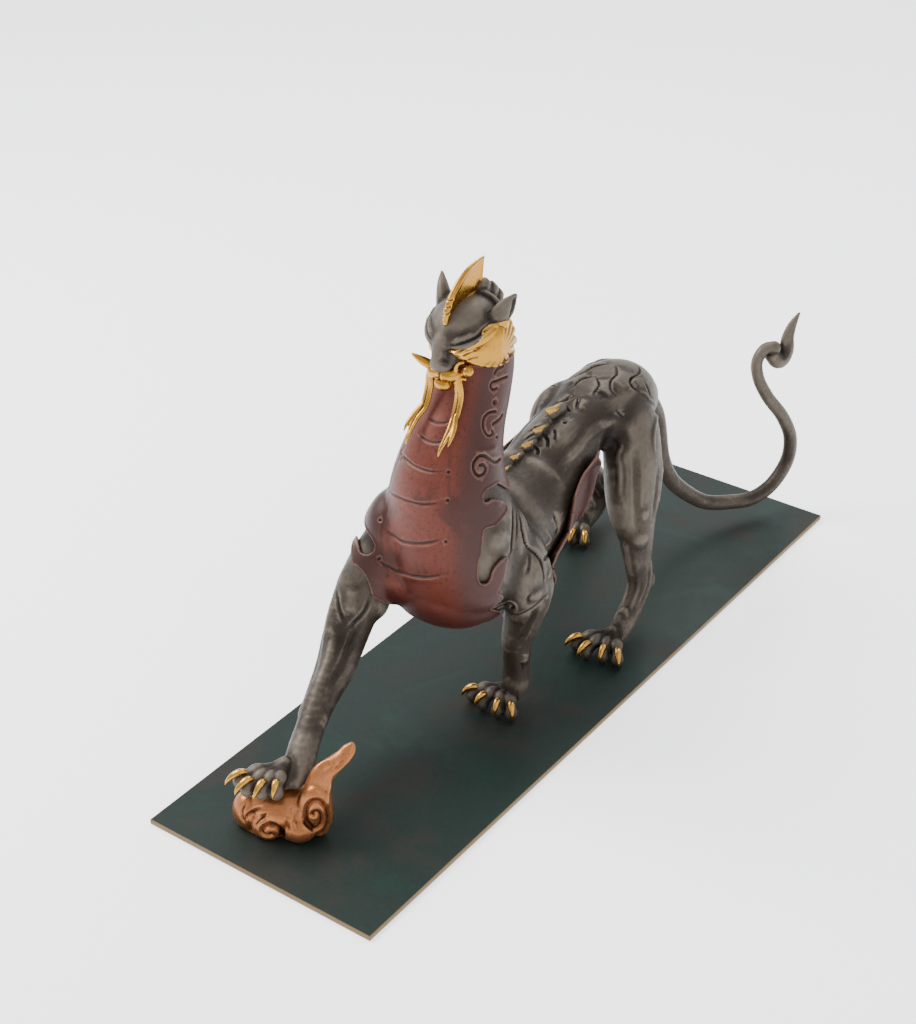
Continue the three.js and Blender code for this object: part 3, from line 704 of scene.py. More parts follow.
# The legs' sinews and muscle edges, by the share of the leg's length and the degrees round it from
# its outer side by way of the front, with width and height in millimetres.
FORE_LINES = [
    ((0.38, 90), (0.72, 86), 5, 0.9), ((0.36, 30), (0.70, 52), 3.6, -0.8),
    ((0.36, 150), (0.68, 128), 3.6, -0.7), ((0.34, 60), (0.52, 72), 6, 1.0),
    ((0.5, 270), (0.9, 270), 2.6, 1.0), ((0.48, 235), (0.86, 240), 2.8, -0.7),
    ((0.48, 305), (0.86, 300), 2.8, -0.7), ((0.3, 330), (0.55, 345), 6, 1.0),
    ((0.74, 10), (0.80, 20), 4, 0.7), ((0.74, 170), (0.80, 160), 4, 0.6),
]
HIND_LINES = [
    ((0.5, 90), (0.72, 90), 3, 0.8), ((0.52, 270), (0.66, 270), 2.6, 1.4),
    ((0.50, 225), (0.64, 232), 4, -1.5), ((0.50, 315), (0.64, 308), 4, -1.5),
    ((0.20, 315), (0.46, 330), 8, 1.3), ((0.22, 350), (0.46, 350), 3.4, -0.9),
    ((0.2, 45), (0.5, 35), 4, -0.7), ((0.68, 60), (0.90, 65), 2.0, 0.6),
    ((0.68, 120), (0.90, 115), 2.0, 0.6), ((0.66, 0), (0.86, 20), 2.6, -0.7),
    ((0.66, 180), (0.86, 160), 2.6, -0.6), ((0.6, 350), (0.72, 300), 2.6, -0.6),
]


def round_limb(stations, start, end, count=9):
    """Places down a limb's skin from one share of its length and angle to another."""
    rings = way(stations, 2.0)
    hand = 1 if stations[-1][0] > 0 else -1
    placed = []
    for share, degrees in np.linspace(start, end, count):
        x, y, z, wide, deep = rings[int(share * (len(rings) - 1))]
        ahead = rings[min(len(rings) - 1, int(share * (len(rings) - 1)) + 1)][:3] - (x, y, z)
        forward = np.cross((1, 0, 0), ahead / (np.linalg.norm(ahead) + 1e-9))
        turn = math.radians(degrees)
        placed.append(np.array((x + hand * wide * math.cos(turn), y, z)) - forward * deep * math.sin(turn))
    return placed


carving = Relief(beast)
for pixels, width, height in BODY_LINES:
    near_side = [place for place in carving.seen(pixels) if place[0] > 0]
    carving.line(near_side, width, height, mirror=True)
for pixels, width, height in BODY_STEPS:
    near_side = [place for place in carving.seen(pixels) if place[0] > 0]
    carving.step(near_side, width, height, mirror=True)
for pixels, width, height in SHOULDER_LINES:
    carving.line(carving.seen(pixels), width, height)
carving.step(carving.seen(SHOULDER_STEP), 5, 1.0)
for pixel, radius, height in [FLANK_HOLLOW, *BOSSES]:
    for place in carving.seen([pixel]):
        carving.swell(place, radius, height, mirror=pixel == FLANK_HOLLOW[0])
for legs, lines in (((FORE_LEFT, FORE_RIGHT), FORE_LINES), ((HIND_LEFT, HIND_RIGHT), HIND_LINES)):
    for leg in legs:
        for start, end, width, height in lines:
            carving.line(round_limb(leg, start, end), width, height)
carving.line(EAR_HOLLOW, 4, -2.2, mirror=True, fade=False)
carving.press()


def leave_relief(piece, near_by=4, far_off=60):
    """Leaves how far the skin stands out from its surroundings, close by and further off, so that
    the finishes can put wear and painted highlights on what is high and painted shade in what is low."""
    at = points_of(piece)
    out = np.empty(len(at) * 3, np.float32)
    piece.data.vertices.foreach_get("normal", out)
    ends = np.empty(len(piece.data.edges) * 2, np.int32)
    piece.data.edges.foreach_get("vertices", ends)
    first, second = ends.reshape(-1, 2).T
    count = np.bincount(ends, minlength=len(at))[:, None]
    smooth = at.copy()
    for i in range(1, far_off + 1):
        around = [
            np.bincount(first, smooth[second, k], len(at)) + np.bincount(second, smooth[first, k], len(at))
            for k in range(3)
        ]
        smooth = (smooth + np.stack(around, 1) / count) / 2
        if i in (near_by, far_off):
            name = "near_relief" if i == near_by else "far_relief"
            leave(piece, name, ((at - smooth) * out.reshape(-1, 3)).sum(1))


MOST_TRIANGLES = 180000


def thin_out(piece):
    """Leaves a piece with so many triangles at most, fewest where it is smooth, and shades it."""
    faces = sum(len(polygon.vertices) - 2 for polygon in piece.data.polygons)
    if faces > MOST_TRIANGLES:
        apply(piece, "DECIMATE", ratio=MOST_TRIANGLES / faces)
    piece.data.validate()
    only([piece], piece)
    bpy.ops.object.shade_smooth()


BRONZE = (0.027, 0.0190, 0.0135)
BRONZE_BLOOM = (0.062, 0.048, 0.036)
BRONZE_CLOUD = (0.0100, 0.0068, 0.0050)
BRONZE_FLECK = (0.013, 0.0095, 0.0075)
# Rubbed wear and painted highlight on the forms and ridges that stand out, painted shade in the hollows
# and creases
BRONZE_WEAR_AND_HIGHLIGHT = (0.115, 0.094, 0.073)
BRONZE_HOLLOW_SHADE = (0.008, 0.006, 0.005)
BRONZE_RIDGE_WEAR_AND_HIGHLIGHT = (0.15, 0.125, 0.098)
BRONZE_CREASE_SHADE = (0.005, 0.004, 0.003)
BRONZE_PAWS = (0.009, 0.0065, 0.005)
FLAME_GILT = (0.50, 0.29, 0.075)


def bronze_finish():
    """Dark bronze: worn pale with painted highlights where it stands out, painted shade black in its
    creases and dark in its hollows, and gilt on the flames.
    """
    bronze = Finish("dark_bronze", BRONZE, 15, 520, 0.3, 0.52, 0.22)
    patches, speckle = bronze.clouds.outputs["Patches"], bronze.clouds.outputs["Speckle"]
    near, far = bronze.carved("near_relief"), bronze.carved("far_relief")
    bronze.coat(BRONZE_BLOOM, bronze.between(patches, 0.48, 0.64), 0.75)
    bronze.coat(BRONZE_CLOUD, bronze.between(patches, 0.48, 0.34), 0.75)
    bronze.coat(BRONZE_FLECK, bronze.between(speckle, 0.50, 0.70), 0.55)
    # Wear and painted highlight on what stands out, then painted shade in what lies low
    bronze.coat(BRONZE_WEAR_AND_HIGHLIGHT, bronze.between(far, 0.15, 1.2), 0.5)
    bronze.coat(BRONZE_HOLLOW_SHADE, bronze.between(far, -0.1, -1.0), 0.8)
    bronze.coat(BRONZE_RIDGE_WEAR_AND_HIGHLIGHT, bronze.between(near, 0.02, 0.12), 0.5)
    bronze.coat(BRONZE_CREASE_SHADE, bronze.between(near, -0.02, -0.12), 0.85)
    bronze.coat(BRONZE_PAWS, bronze.carved("low"), 0.65)
    flaked = bronze.added(bronze.carved("gilt"), bronze.between(speckle, 0.35, 0.65, -0.3, 0.3))
    gilt = bronze.between(flaked, 0.4, 0.6)
    bronze.coat(FLAME_GILT, gilt, 0.95)
    shine = bronze.between(bronze.added(speckle, patches), 0.7, 1.3, 0.40, 0.58)
    return bronze.surface(shine, bronze.between(gilt, 0, 1, 0.35, 1), grain=0.45, depth=0.00012)


GOLD = (0.40, 0.195, 0.028)
GOLD_TARNISH = (0.24, 0.10, 0.02)
# A painted highlight on the ridges, painted shade in the creases and hollows
GOLD_RIDGE_HIGHLIGHT = (0.66, 0.40, 0.11)
GOLD_CREASE_SHADE = (0.06, 0.024, 0.008)
GOLD_HOLLOW_SHADE = (0.11, 0.045, 0.013)


def gold_finish(name, brown=0.6):
    """Polished brass with brown tarnish in patches, painted highlights on its ridges and painted shade
    dark brown in its grooves and hollows.
    """
    gold = Finish(name, GOLD, 60, 900, 1.0, 0.25)
    patches, speckle = gold.clouds.outputs["Patches"], gold.clouds.outputs["Speckle"]
    near, far = gold.carved("near_relief"), gold.carved("far_relief")
    # brown sets how strong both the tarnish and the painted shade in the hollows are
    gold.coat(GOLD_TARNISH, gold.between(patches, 0.50, 0.68), brown)
    gold.coat(GOLD_RIDGE_HIGHLIGHT, gold.between(near, 0.015, 0.08), 0.5)
    gold.coat(GOLD_CREASE_SHADE, gold.between(near, -0.010, -0.06), 0.9)
    gold.coat(GOLD_HOLLOW_SHADE, gold.between(far, -0.05, -0.5), brown)
    shine = gold.between(speckle, 0.35, 0.7, 0.22, 0.36)
    return gold.surface(shine, grain=0.12, depth=0.00006)


claw_gold = gold_finish("claw_gilt", 0.3)
# The paws and lower legs are darker towards the plate, fading out DARK_PAWS_TO above it
DARK_PAWS_TO = 26
thin_out(beast)
leave_relief(beast)
skin = points_of(beast)
leave(beast, "low", np.clip(1 - (skin[:, 2] - PAW_FLOOR) / DARK_PAWS_TO, 0, 1) ** 1.5)
# The flames are gilt round their upper edge, in an oval that grows with the flame
gilt = np.zeros(len(skin))
for y, z, size in FLAMES:
    crown = np.array((0, y - 3.5 * size, z + 4.4 * size))
    off = np.linalg.norm((skin - crown) / (1, 2.2, 0.9), axis=1)
    gilt = np.maximum(gilt, np.clip(1.7 - off / (2.2 * size), 0, 1))
leave(beast, "gilt", gilt)
beast.data.materials.append(bronze_finish())
for claw in claws:
    leave_relief(claw, 2, 10)
    claw.data.materials.append(claw_gold)
only([beast, *claws], beast)
bpy.ops.object.join()
bpy.ops.object.shade_smooth()
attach(beast, "root")
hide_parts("beast")

# The breast shell is a thin red-patinated skin over the throat, breast and belly, with a sleeve on
# the right foreleg. It stands a little off the beast, its edge is cut in cloud scrolls with a raised
# lip, and its front is worked in overlapping plates.
SHELL_STAND = 2.0
SHELL_WALL = 1.4
SHELL_VOXEL = 1.45
KEEL = [
    (0, -84, 99, 21, 18), (0, -56, 100, 26.5, 28), (0, -30, 103, 28, 30), (0, -6, 106, 28, 30),
    (0, 10, 109, 26, 27), (0, 22, 117, 24, 20), (0, 36, 127, 22, 12),
]
# Its edge, in pixels of the photo where they show on the left side, from the nape down
SMALL_HOOK = [
    (498.5, 482.4), (495.7, 484.5), (492, 486.4), (488.4, 488.4), (485.4, 491.4), (483.2, 495.4),
    (483.2, 499.5), (485.2, 502.8), (488.4, 502.2), (491.6, 499.8), (495.7, 500), (500, 500.8),
    (504, 502.7), (507.2, 504.6),
]
SHOULDER_PIT = [
    (507.6, 510.5), (504.6, 515.3), (500.8, 520.4), (495.7, 525.5), (485.2, 529.2), (483, 535.3),
    (482.6, 543), (481.4, 552.1), (478.7, 562.8), (478, 573.6), (478.7, 580.4), (482, 584.7),
    (487.5, 583.9), (490.6, 579.7), (492.9, 572), (496.7, 565.9), (502.8, 559.8), (507.4, 556.7),
]
STRIP_END = [
    (508, 563), (507.4, 569.7), (503, 585), (499.4, 592.7), (503, 598), (496, 604.2), (490.6, 609.5),
]
# The edge as places (y, z) in millimetres, where the photo doesn't show it
NECK_BACK = [(-115, 229), (-30, 227), (-30, 200), (-36, 180), (-44, 168), (-50, 158), (-60, 157)]
BREAST_FOOT = [(-68, 82), (-65, 76), (-64, 55), (-115, 55)]
RIGHT_SIDE = [(-64, 149), (-70, 138), (-79, 124), (-76, 92), *BREAST_FOOT[1:]]
BELLY_EDGE = [
    (-72, 86), (-58, 84), (-25, 98), (-8, 104), (-3, 113), (4, 120), (18, 127), (33, 131), (39, 124),
    (30, 100), (16, 55), (-72, 55),
]
# The sleeve ends on a slanting plane, the right shoulder is left bare along a round-ended slot, and
# the shell is cut out round the left foreleg.
CUFF = [(352.6, 563), (370, 594)]
CUFF_INSIDE = (-16, -104, 86)
BARE_SHOULDER = [(-52, -70, 124), (-31, -107.5, 122.5)]
BARE_WIDTHS = (17, 5)
LEG_GAP = (34, -50, 62, 22, 26, 24)
# Plate edges, lines and pierced notches on its front, again in pixels, with width and height
THROAT_PLATES = [
    [(427, 417), (433, 421), (439, 423), (447, 422.5), (453, 420)],
    [(417, 432), (423.5, 438), (429, 441.5), (437, 442.5), (450, 440)],
    [(400, 451), (406, 459), (413.7, 465.5), (423, 469.5), (432, 471.5), (448, 470.5)],
    [(388, 488), (396.3, 496), (408.6, 501.3), (421, 504.2), (435, 503.5), (449, 499)],
    [(383, 524), (390.3, 533), (400.5, 540.5), (411.7, 543), (430, 542.5), (447, 537)],
    [(372, 556), (386.2, 565), (396.4, 570.5), (411.7, 575.5), (430, 577), (448, 573)],
]
SHELL_LINES = [
    ([(500.5, 459), (498, 461.6), (494.5, 462), (490, 459), (486, 456.5), (481, 455.6), (477, 458.4),
      (474, 463), (473.8, 468.6), (476.2, 474), (480.4, 475.8), (484.4, 473.2), (486, 468.4),
      (483.6, 464.6), (480.4, 465.4)], 1.3, -1.6),
    ([(478, 452.6), (484, 451.4), (490, 450.6), (495, 448.6)], 2.4, 0.5),
    ([(451, 428), (452, 450), (451, 480), (450.5, 510), (448, 545), (447, 575)], 2.2, -0.35),
    ([(405, 445), (398, 462), (390, 487), (384, 520), (383, 555), (388, 575)], 2.2, -0.3),
    ([(507, 377), (502, 379), (497.3, 381), (492.5, 382.5), (491, 386.5), (493.5, 390),
      (497, 388.5)], 1.1, -1.5),
    ([(503, 366), (498, 369), (495, 373)], 1.2, -0.9),
    ([(502.5, 415), (500.5, 419), (496, 422.5), (493.5, 424)], 1.5, -1.5),
    ([(496, 411.5), (489, 413), (484.5, 418), (483.3, 425), (485, 431.5), (489.5, 436),
      (493.3, 433.5), (492.3, 430.5)], 1.1, -1.5),
    ([(511.5, 561), (507.5, 570), (506.7, 577), (503.5, 585), (499.6, 592.7)], 1.2, -1.3),
]
NOTCHES = [
    ((495.3, 402.5), 2.2, -1.5), ((496.8, 437), 1.2, -1.2), ((448.4, 472.3), 1.3, -1.4),
    ((447.5, 500.5), 1.3, -1.4), ((445.5, 542), 1.3, -1.4), ((380, 520), 1.4, -1.4),
    ((379.5, 558.5), 1.4, -1.4), ((388.5, 487), 1.4, -1.4), ((401, 450), 1.2, -1.2),
    ((401, 458.5), 1.2, -1.2), ((362, 492), 5, 0.9), ((500, 496), 4, 0.5),
]
ROUGH_MARGIN = 8
# The lip along the edge and the furrow inside it: height, how far in, width
LIP = (0.35, 0.0, 0.7)
FURROW = (-0.08, 1.8, 0.7)
# Under the belly the edge flares away from the body
FLARE = 3.2
FLARE_WIDTH = 7
RED = (0.104, 0.022, 0.013)
RED_CLOUD = (0.036, 0.008, 0.005)
RED_BLOOM = (0.150, 0.040, 0.026)
RED_FLECK = (0.19, 0.040, 0.014)
RED_PIT = (0.024, 0.008, 0.006)
RED_FLANK = (0.034, 0.0135, 0.0115)
# Painted shade under the shell and in its creases and hollows, a painted highlight on its ridges and lip
RED_SHADE_UNDER = (0.034, 0.0075, 0.0055)
RED_RIDGE_HIGHLIGHT = (0.17, 0.085, 0.065)
RED_CREASE_SHADE = (0.008, 0.005, 0.004)
RED_HOLLOW_SHADE = (0.016, 0.008, 0.006)


def within(places, outline):
    """How far places (y, z) lie inside an outline; below zero where they are outside."""
    far = np.full(len(places), 1e9)
    inside = np.zeros(len(places), bool)
    for start, end in zip(outline, np.roll(outline, -1, axis=0)):
        run = end - start
        share = np.clip((places - start) @ run / (run @ run + 1e-12), 0, 1)
        far = np.minimum(far, np.linalg.norm(places - start - share[:, None] * run, axis=1))
        level = (start[1] > places[:, 1]) != (end[1] > places[:, 1])
        crossing = start[0] + (places[:, 1] - start[1]) / (run[1] + 1e-12) * run[0]
        inside ^= level & (places[:, 0] < crossing)
    return np.where(inside, far, -far)


def cut_away(piece, value):
    """Cuts a mesh along the line where the value of its vertices passes zero, and drops the part
    below it."""
    mesh = bmesh.new()
    mesh.from_mesh(piece.data)
    mesh.verts.ensure_lookup_table()
    value = dict(zip(mesh.verts, value))
    cut = []
    for edge in list(mesh.edges):
        near, far = edge.verts
        if (value[near] > 0) != (value[far] > 0):
            share = value[near] / (value[near] - value[far])
            _, made = bmesh.utils.edge_split(edge, near, min(0.95, max(0.05, share)))
            value[made] = 0
            cut.append(made)
    bmesh.ops.connect_verts(mesh, verts=cut)
    outside = [face for face in mesh.faces if min(value[corner] for corner in face.verts) < 0]
    bmesh.ops.delete(mesh, geom=outside, context="FACES")
    bmesh.ops.delete(mesh, geom=[v for v in mesh.verts if not v.link_faces], context="VERTS")
    mesh.to_mesh(piece.data)
    mesh.free()


def off_the_edge(piece):
    """How far each vertex lies from the open edge of a mesh."""
    mesh = bmesh.new()
    mesh.from_mesh(piece.data)
    rim = [vert.co.copy() for vert in mesh.verts if vert.is_boundary]
    mesh.free()
    tree = KDTree(len(rim))
    for i, place in enumerate(rim):
        tree.insert(place, i)
    tree.balance()
    return np.array([tree.find(vert.co)[2] for vert in piece.data.vertices]) / MM


def side_view(relief, pixels):
    """A smooth stretch of outline (y, z) through the places that show at the pixels."""
    return way([(y, z) for _, y, z in relief.seen(pixels)], 0.6)


def sleeve_side(at):
    """How far places lie above the sleeve's end, which passes through three places on the leg."""
    outer, front, inner = np.array([*whole.seen(CUFF), CUFF_INSIDE])
    upright = np.cross(front - outer, inner - outer)
    upright *= np.sign(upright[2]) / np.linalg.norm(upright)
    return (at - outer) @ upright


def shell_value(at, left, right):
    """How far places lie inside the shell's outline."""
    flat = at[:, 1:]
    start, end = np.array(BARE_SHOULDER)
    share = np.clip((at - start) @ (end - start) / ((end - start) @ (end - start)), 0, 1)
    bare = np.linalg.norm(at - start - share[:, None] * (end - start), axis=1)
    bare -= BARE_WIDTHS[0] + share * (BARE_WIDTHS[1] - BARE_WIDTHS[0])
    off_leg = (np.linalg.norm((at - LEG_GAP[:3]) / LEG_GAP[3:], axis=1) - 1) * LEG_GAP[3]
    on_right = np.minimum(within(flat, right), np.minimum(sleeve_side(at), bare))
    breast = np.where(at[:, 0] > 0, within(flat, left), on_right)
    between_legs = 21 + np.clip((at[:, 1] + 38) * 0.9, 0, 25) - np.abs(at[:, 0])
    belly = np.minimum(within(flat, np.array(BELLY_EDGE, float)), between_legs)
    return np.minimum(np.maximum(breast, belly), off_leg)


def red_finish():
    """Red patina, brighter down the front and brown on the flanks, with painted shade underneath and in
    its creases and hollows and painted highlights on its ridges.
    """
    red = Finish("red_patina", RED, 22, 520, 0.25, 0.45, 0.3)
    patches, speckle = red.clouds.outputs["Patches"], red.clouds.outputs["Speckle"]
    near, far = red.carved("near_relief"), red.carved("far_relief")
    red.coat(RED_CLOUD, red.between(patches, 0.49, 0.37), 0.8)
    red.coat(RED_BLOOM, red.between(patches, 0.51, 0.66), 0.6)
    red.coat(RED_FLECK, red.between(speckle, 0.55, 0.8), 0.45)
    red.coat(RED_PIT, red.between(speckle, 0.47, 0.3), 0.65)
    red.coat(RED_FLANK, red.between(red.carved("side"), 0.2, 1.0), 0.85)
    red.coat(RED_SHADE_UNDER, red.between(red.carved("under"), 0.2, 1.0), 0.85)
    red.coat(RED_RIDGE_HIGHLIGHT, red.between(near, 0.03, 0.14), 0.5)
    red.coat(RED_CREASE_SHADE, red.between(near, -0.02, -0.12), 0.8)
    red.coat(RED_HOLLOW_SHADE, red.between(far, -0.2, -0.9), 0.6)
    return red.surface(red.between(patches, 0.3, 0.7, 0.40, 0.54), grain=0.4, depth=0.0001)


breast = fuse("breast_shell_red", [*body_forms(SHELL_STAND), limb(KEEL, 48, 3)], SHELL_VOXEL, 16)
whole = Relief(breast)
upper = [*NECK_BACK, *side_view(whole, SMALL_HOOK)]
left_edge = np.array([*upper, *side_view(whole, SHOULDER_PIT), *side_view(whole, STRIP_END), *BREAST_FOOT])
right_edge = np.array([*upper, *RIGHT_SIDE])
cut_away(breast, shell_value(whole.at, left_edge, right_edge) + ROUGH_MARGIN)
apply(breast, "SUBSURF", levels=1)
cut_away(breast, shell_value(points_of(breast), left_edge, right_edge))

form = Relief(breast)
far = off_the_edge(breast)
for height, inwards, width in (LIP, FURROW):
    form.push += height * np.exp(-(((far - inwards) / width) ** 2))
under_belly = (form.at[:, 1] > -40) & (form.at[:, 2] < 135)
form.push += np.where(under_belly, FLARE * np.clip(1 - far / FLARE_WIDTH, 0, 1) ** 2, 0)
for pixels in THROAT_PLATES:
    form.line(whole.seen(pixels), 1.3, -0.75)
    form.line(whole.seen([(x, y + 3) for x, y in pixels]), 3.6, 0.3)
for pixels, width, height in SHELL_LINES:
    form.line(whole.seen(pixels), width, height, fade=False)
for pixel, radius, height in NOTCHES:
    for place in whole.seen([pixel]):
        form.swell(place, radius, height)
form.press()
# Brown are the neck's sides, what lies far out below them, and all behind the breast
turned_away = np.where(form.at[:, 2] > 150, (np.abs(form.out[:, 0]) - 0.4) / 0.4, 0)
flank = np.maximum((np.abs(form.at[:, 0]) - 12) / 18, turned_away)
leave(breast, "side", np.clip(flank + (form.at[:, 1] > -50), 0, 1))
# Painted shade that deepens from 110 mm down to 80 mm
leave(breast, "under", np.clip((110 - form.at[:, 2]) / 30, 0, 1))
apply(breast, "SOLIDIFY", thickness=SHELL_WALL * MM, offset=-1)
thin_out(breast)
leave_relief(breast)
breast.data.materials.append(red_finish())
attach(breast, "root")
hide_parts("breast_shell")

# The horn is a gilt blade on the midline: a thick front ridge with three notches over its foot, and
# a thin web behind it that is hollowed on both faces and runs to a sharp rear edge.
HORN_VOXEL = 0.4
HORN_RIDGE = [
    (0, -77.2, 253, 1.5, 1.9), (0, -75.4, 260.6, 1.9, 2.3), (0, -69, 268.6, 1.7, 2.2),
    (0, -59.5, 275.0, 1.3, 1.6), (0, -51.5, 277.1, 0.9, 1.1), (0, -43.8, 278.2, 0.4, 0.4),
]
HORN_REAR = [
    (0, -44.2, 277.6, 0.5, 0.5), (0, -46.2, 270.5, 1.0, 1.1), (0, -48.2, 262.4, 1.2, 1.3),
    (0, -58.5, 260.4, 1.1, 1.3), (0, -67, 258.4, 1.0, 1.2), (0, -75, 254.4, 0.9, 1.0),
]
HORN_WEB = [
    (-76, 252), (-75, 260), (-69, 268), (-59.5, 274.6), (-44.2, 278), (-46.2, 270.5), (-48.2, 262),
    (-48, 252),
]
WEB_THICK = 1.2
HORN_NOTCHES = [(-77.8, 258.4), (-76.6, 261.8), (-74.6, 265.0)]


def slab(outline, thick):
    """A flat plate on the midline, from an outline (y, z) and a thickness in millimetres."""
    points = [(side * thick / 2, y, z) for side in (-1, 1) for y, z in outline]
    count = len(outline)
    faces = [tuple(range(count)), tuple(reversed(range(count, 2 * count)))]
    for i in range(count):
        j = (i + 1) % count
        faces.append((j, i, count + i, count + j))
    return mesh_piece("slab", points, faces)


def dress(piece, name, finish, node):
    """Smooths a piece, leaves its relief, gives it its finish and puts it in its node's place."""
    piece.name = name
    thin_out(piece)
    leave_relief(piece, 3, 24)
    piece.data.materials.append(finish)
    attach(piece, "root")
    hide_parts(node)


gilding = gold_finish("gilding")
horn_forms = [slab(HORN_WEB, WEB_THICK), limb(HORN_RIDGE, 20, 1), limb(HORN_REAR, 14, 1)]
horn = fuse("horn", horn_forms, HORN_VOXEL, 4)
cutting = Relief(horn)
for y, z in HORN_NOTCHES:
    cutting.line([(-2, y + 1.2, z + 0.4), (0, y, z), (2, y + 1.2, z + 0.4)], 0.8, -0.9, fade=False)
cutting.press()
dress(horn, "gilt_horn", gilding, "horn_crest")

# A gilt brass mane is fixed over each cheek like a shell: smooth in the middle, and fluted towards a
# back edge of curled lobes. Small folds run forward from it under the eye.
MANE_CENTRE = (17.5, -60, 238.5)
MANE_EDGE = [
    # y, z round the left one, from its front tip over the top
    (-83, 241), (-78, 243.8), (-72, 246.2), (-69, 248.4), (-65.5, 251), (-58, 252.2), (-50, 251),
    (-44, 245.5), (-41, 238), (-40, 231), (-43.5, 227), (-49, 225.6), (-56, 226), (-64, 227.6),
    (-70, 230), (-75, 233), (-80, 237),
]
MANE_FOLDS = [
    ([(457, 353), (464, 349), (472, 345), (480, 338)], 1.2, -0.9),
    ([(460, 357), (468, 354), (477, 350), (485, 345)], 1.2, -0.7),
    ([(464, 361), (472, 359), (481, 357)], 1.0, -0.5),
]
MANE_LOBES = 17
MANE_SPOKES = 264
MANE_RINGS = 44
# How far its middle swells and its edge stands off, and where its back lies behind the middle
MANE_BULGE = 4.2
MANE_STAND = 1.2
MANE_BACK = 5
# The last rings curl behind the edge, to this depth
MANE_CURL = 8
MANE_CURL_DEPTH = 6.5
# The flutes are deepest at the first angle, fade away from it as the second says, and end at the
# third, all in radians
FLUTES_AT = -0.35
FLUTES_SPREAD = 1.45
FLUTES_REACH = 2.2
# It stays this far over the skin, but rises no more than this for it
MANE_OVER_SKIN = 0.6
MANE_RISE = 5


def mane_rim(turn):
    """How strongly the edge is fluted at an angle, and how deep in a groove that angle lies."""
    off = abs(turn - FLUTES_AT)
    flute = math.cos(off / FLUTES_SPREAD) if off < FLUTES_REACH else 0.0
    lobe = abs(math.sin(turn * MANE_LOBES / 2))
    return 1 + 0.09 * flute * (lobe - 0.5), flute * (1 - lobe) ** 1.5


def skin_beside(hand, y, z):
    """How far out from the middle the beast's skin lies at this place on one side."""
    hit = beast_skin.ray_cast(Vector((hand * 80, y, z)) * MM, Vector((-hand, 0, 0)))[0]
    return 0 if hit is None else abs(hit.x) / MM


def cheek_mane(hand):
    """One mane as rings of points round its middle, for the left where hand is 1, the right at -1."""
    outline = MANE_EDGE if hand > 0 else [(y, min(z, 247)) for y, z in MANE_EDGE[3:-2]]
    edge = way([*outline, outline[0]], 0.8) - MANE_CENTRE[1:]
    turns, reaches = np.arctan2(edge[:, 1], edge[:, 0]), np.linalg.norm(edge, axis=1)
    order = np.argsort(turns)
    points = []
    in_front = MANE_RINGS - MANE_CURL
    for ring in range(1, MANE_RINGS + 1):
        out = min(1.0, ring / in_front)
        behind = max(0, ring - in_front) / MANE_CURL
        for spoke in range(MANE_SPOKES):
            turn = 2 * math.pi * spoke / MANE_SPOKES
            turn = turn - 2 * math.pi if turn > math.pi else turn
            flare, groove = mane_rim(turn)
            reach = np.interp(turn, turns[order], reaches[order], period=2 * math.pi)
            reach *= out * (flare - 0.06 * behind)
            y, z = MANE_CENTRE[1] + math.cos(turn) * reach, MANE_CENTRE[2] + math.sin(turn) * reach
            stand = MANE_BULGE * (1 - out**2.6) ** 0.7 + MANE_STAND - 1.5 * groove * out**2
            stand += 0.6 * math.exp(-(((out - 0.93) / 0.06) ** 2)) * (1 - groove)
            # the cheek draws in towards the nose and a little towards the nape
            slope = MANE_CENTRE[0] + min(0, (y - MANE_CENTRE[1]) * 0.42) - max(0, y + 52) * 0.12
            cleared = min(skin_beside(hand, y, z) + MANE_OVER_SKIN, slope + stand + MANE_RISE)
            over = max(slope + stand, cleared)
            points.append((hand * (over - MANE_CURL_DEPTH * behind), y, z))
    points += [(hand * (MANE_CENTRE[0] + MANE_BULGE + MANE_STAND), *MANE_CENTRE[1:])]
    points += [(hand * (MANE_CENTRE[0] - MANE_BACK), *MANE_CENTRE[1:])]
    faces = []
    last = (MANE_RINGS - 1) * MANE_SPOKES
    for i in range(MANE_SPOKES):
        j = (i + 1) % MANE_SPOKES
        faces.append((len(points) - 2, i, j))
        faces.append((len(points) - 1, last + j, last + i))
        for ring in range(MANE_RINGS - 1):
            low, high = ring * MANE_SPOKES, (ring + 1) * MANE_SPOKES
            faces.append((low + i, high + i, high + j, low + j))
    if hand < 0:
        faces = [tuple(reversed(face)) for face in faces]
    return mesh_piece("mane", points, faces)


beast_skin = BVHTree.FromObject(beast, bpy.context.evaluated_depsgraph_get())
left_mane = cheek_mane(1)
left_side = Relief(left_mane)
for mane, side_name, turned in ((left_mane, "left", list), (cheek_mane(-1), "right", mirrored)):
    chasing = Relief(mane)
    for pixels, width, height in MANE_FOLDS:
        chasing.line(turned(left_side.seen(pixels)), width, height)
    chasing.press()
    dress(mane, f"gilt_mane_{side_name}", gilding, f"cheek_mane_{side_name}")

# The gilt mouth is one small brass casting let into the face: an upper lip with a notch under the
# nose, a chin, a long ribbon whisker with a strand beside it from each corner, a hooked knob beside
# the left one and a tusk beside the right one.
MOUTH_VOXEL = 0.4
UPPER_LIP = [
    (-8, -77, 225, 3), (-4.5, -81.5, 226, 3.6), (0, -83, 227.5, 3), (4.5, -81.5, 226.5, 3.6),
    (8, -77, 227, 3),
]
CHIN = (0, -79.5, 219.8, 5, 4.4, 4.2)
WHISKER = [
    (7, -79, 229, 2.2, 1.9), (8.8, -78.8, 222, 2.6, 1.8), (9.6, -78.8, 215, 2.7, 1.7),
    (9.9, -83, 204.7, 2.5, 1.5), (10.8, -88, 200.6, 2.1, 1.3), (10.9, -93.6, 195.4, 1.6, 1.1),
    (10.5, -97, 191.8, 1.0, 0.8), (10.6, -98.6, 188.6, 0.4, 0.4),
]
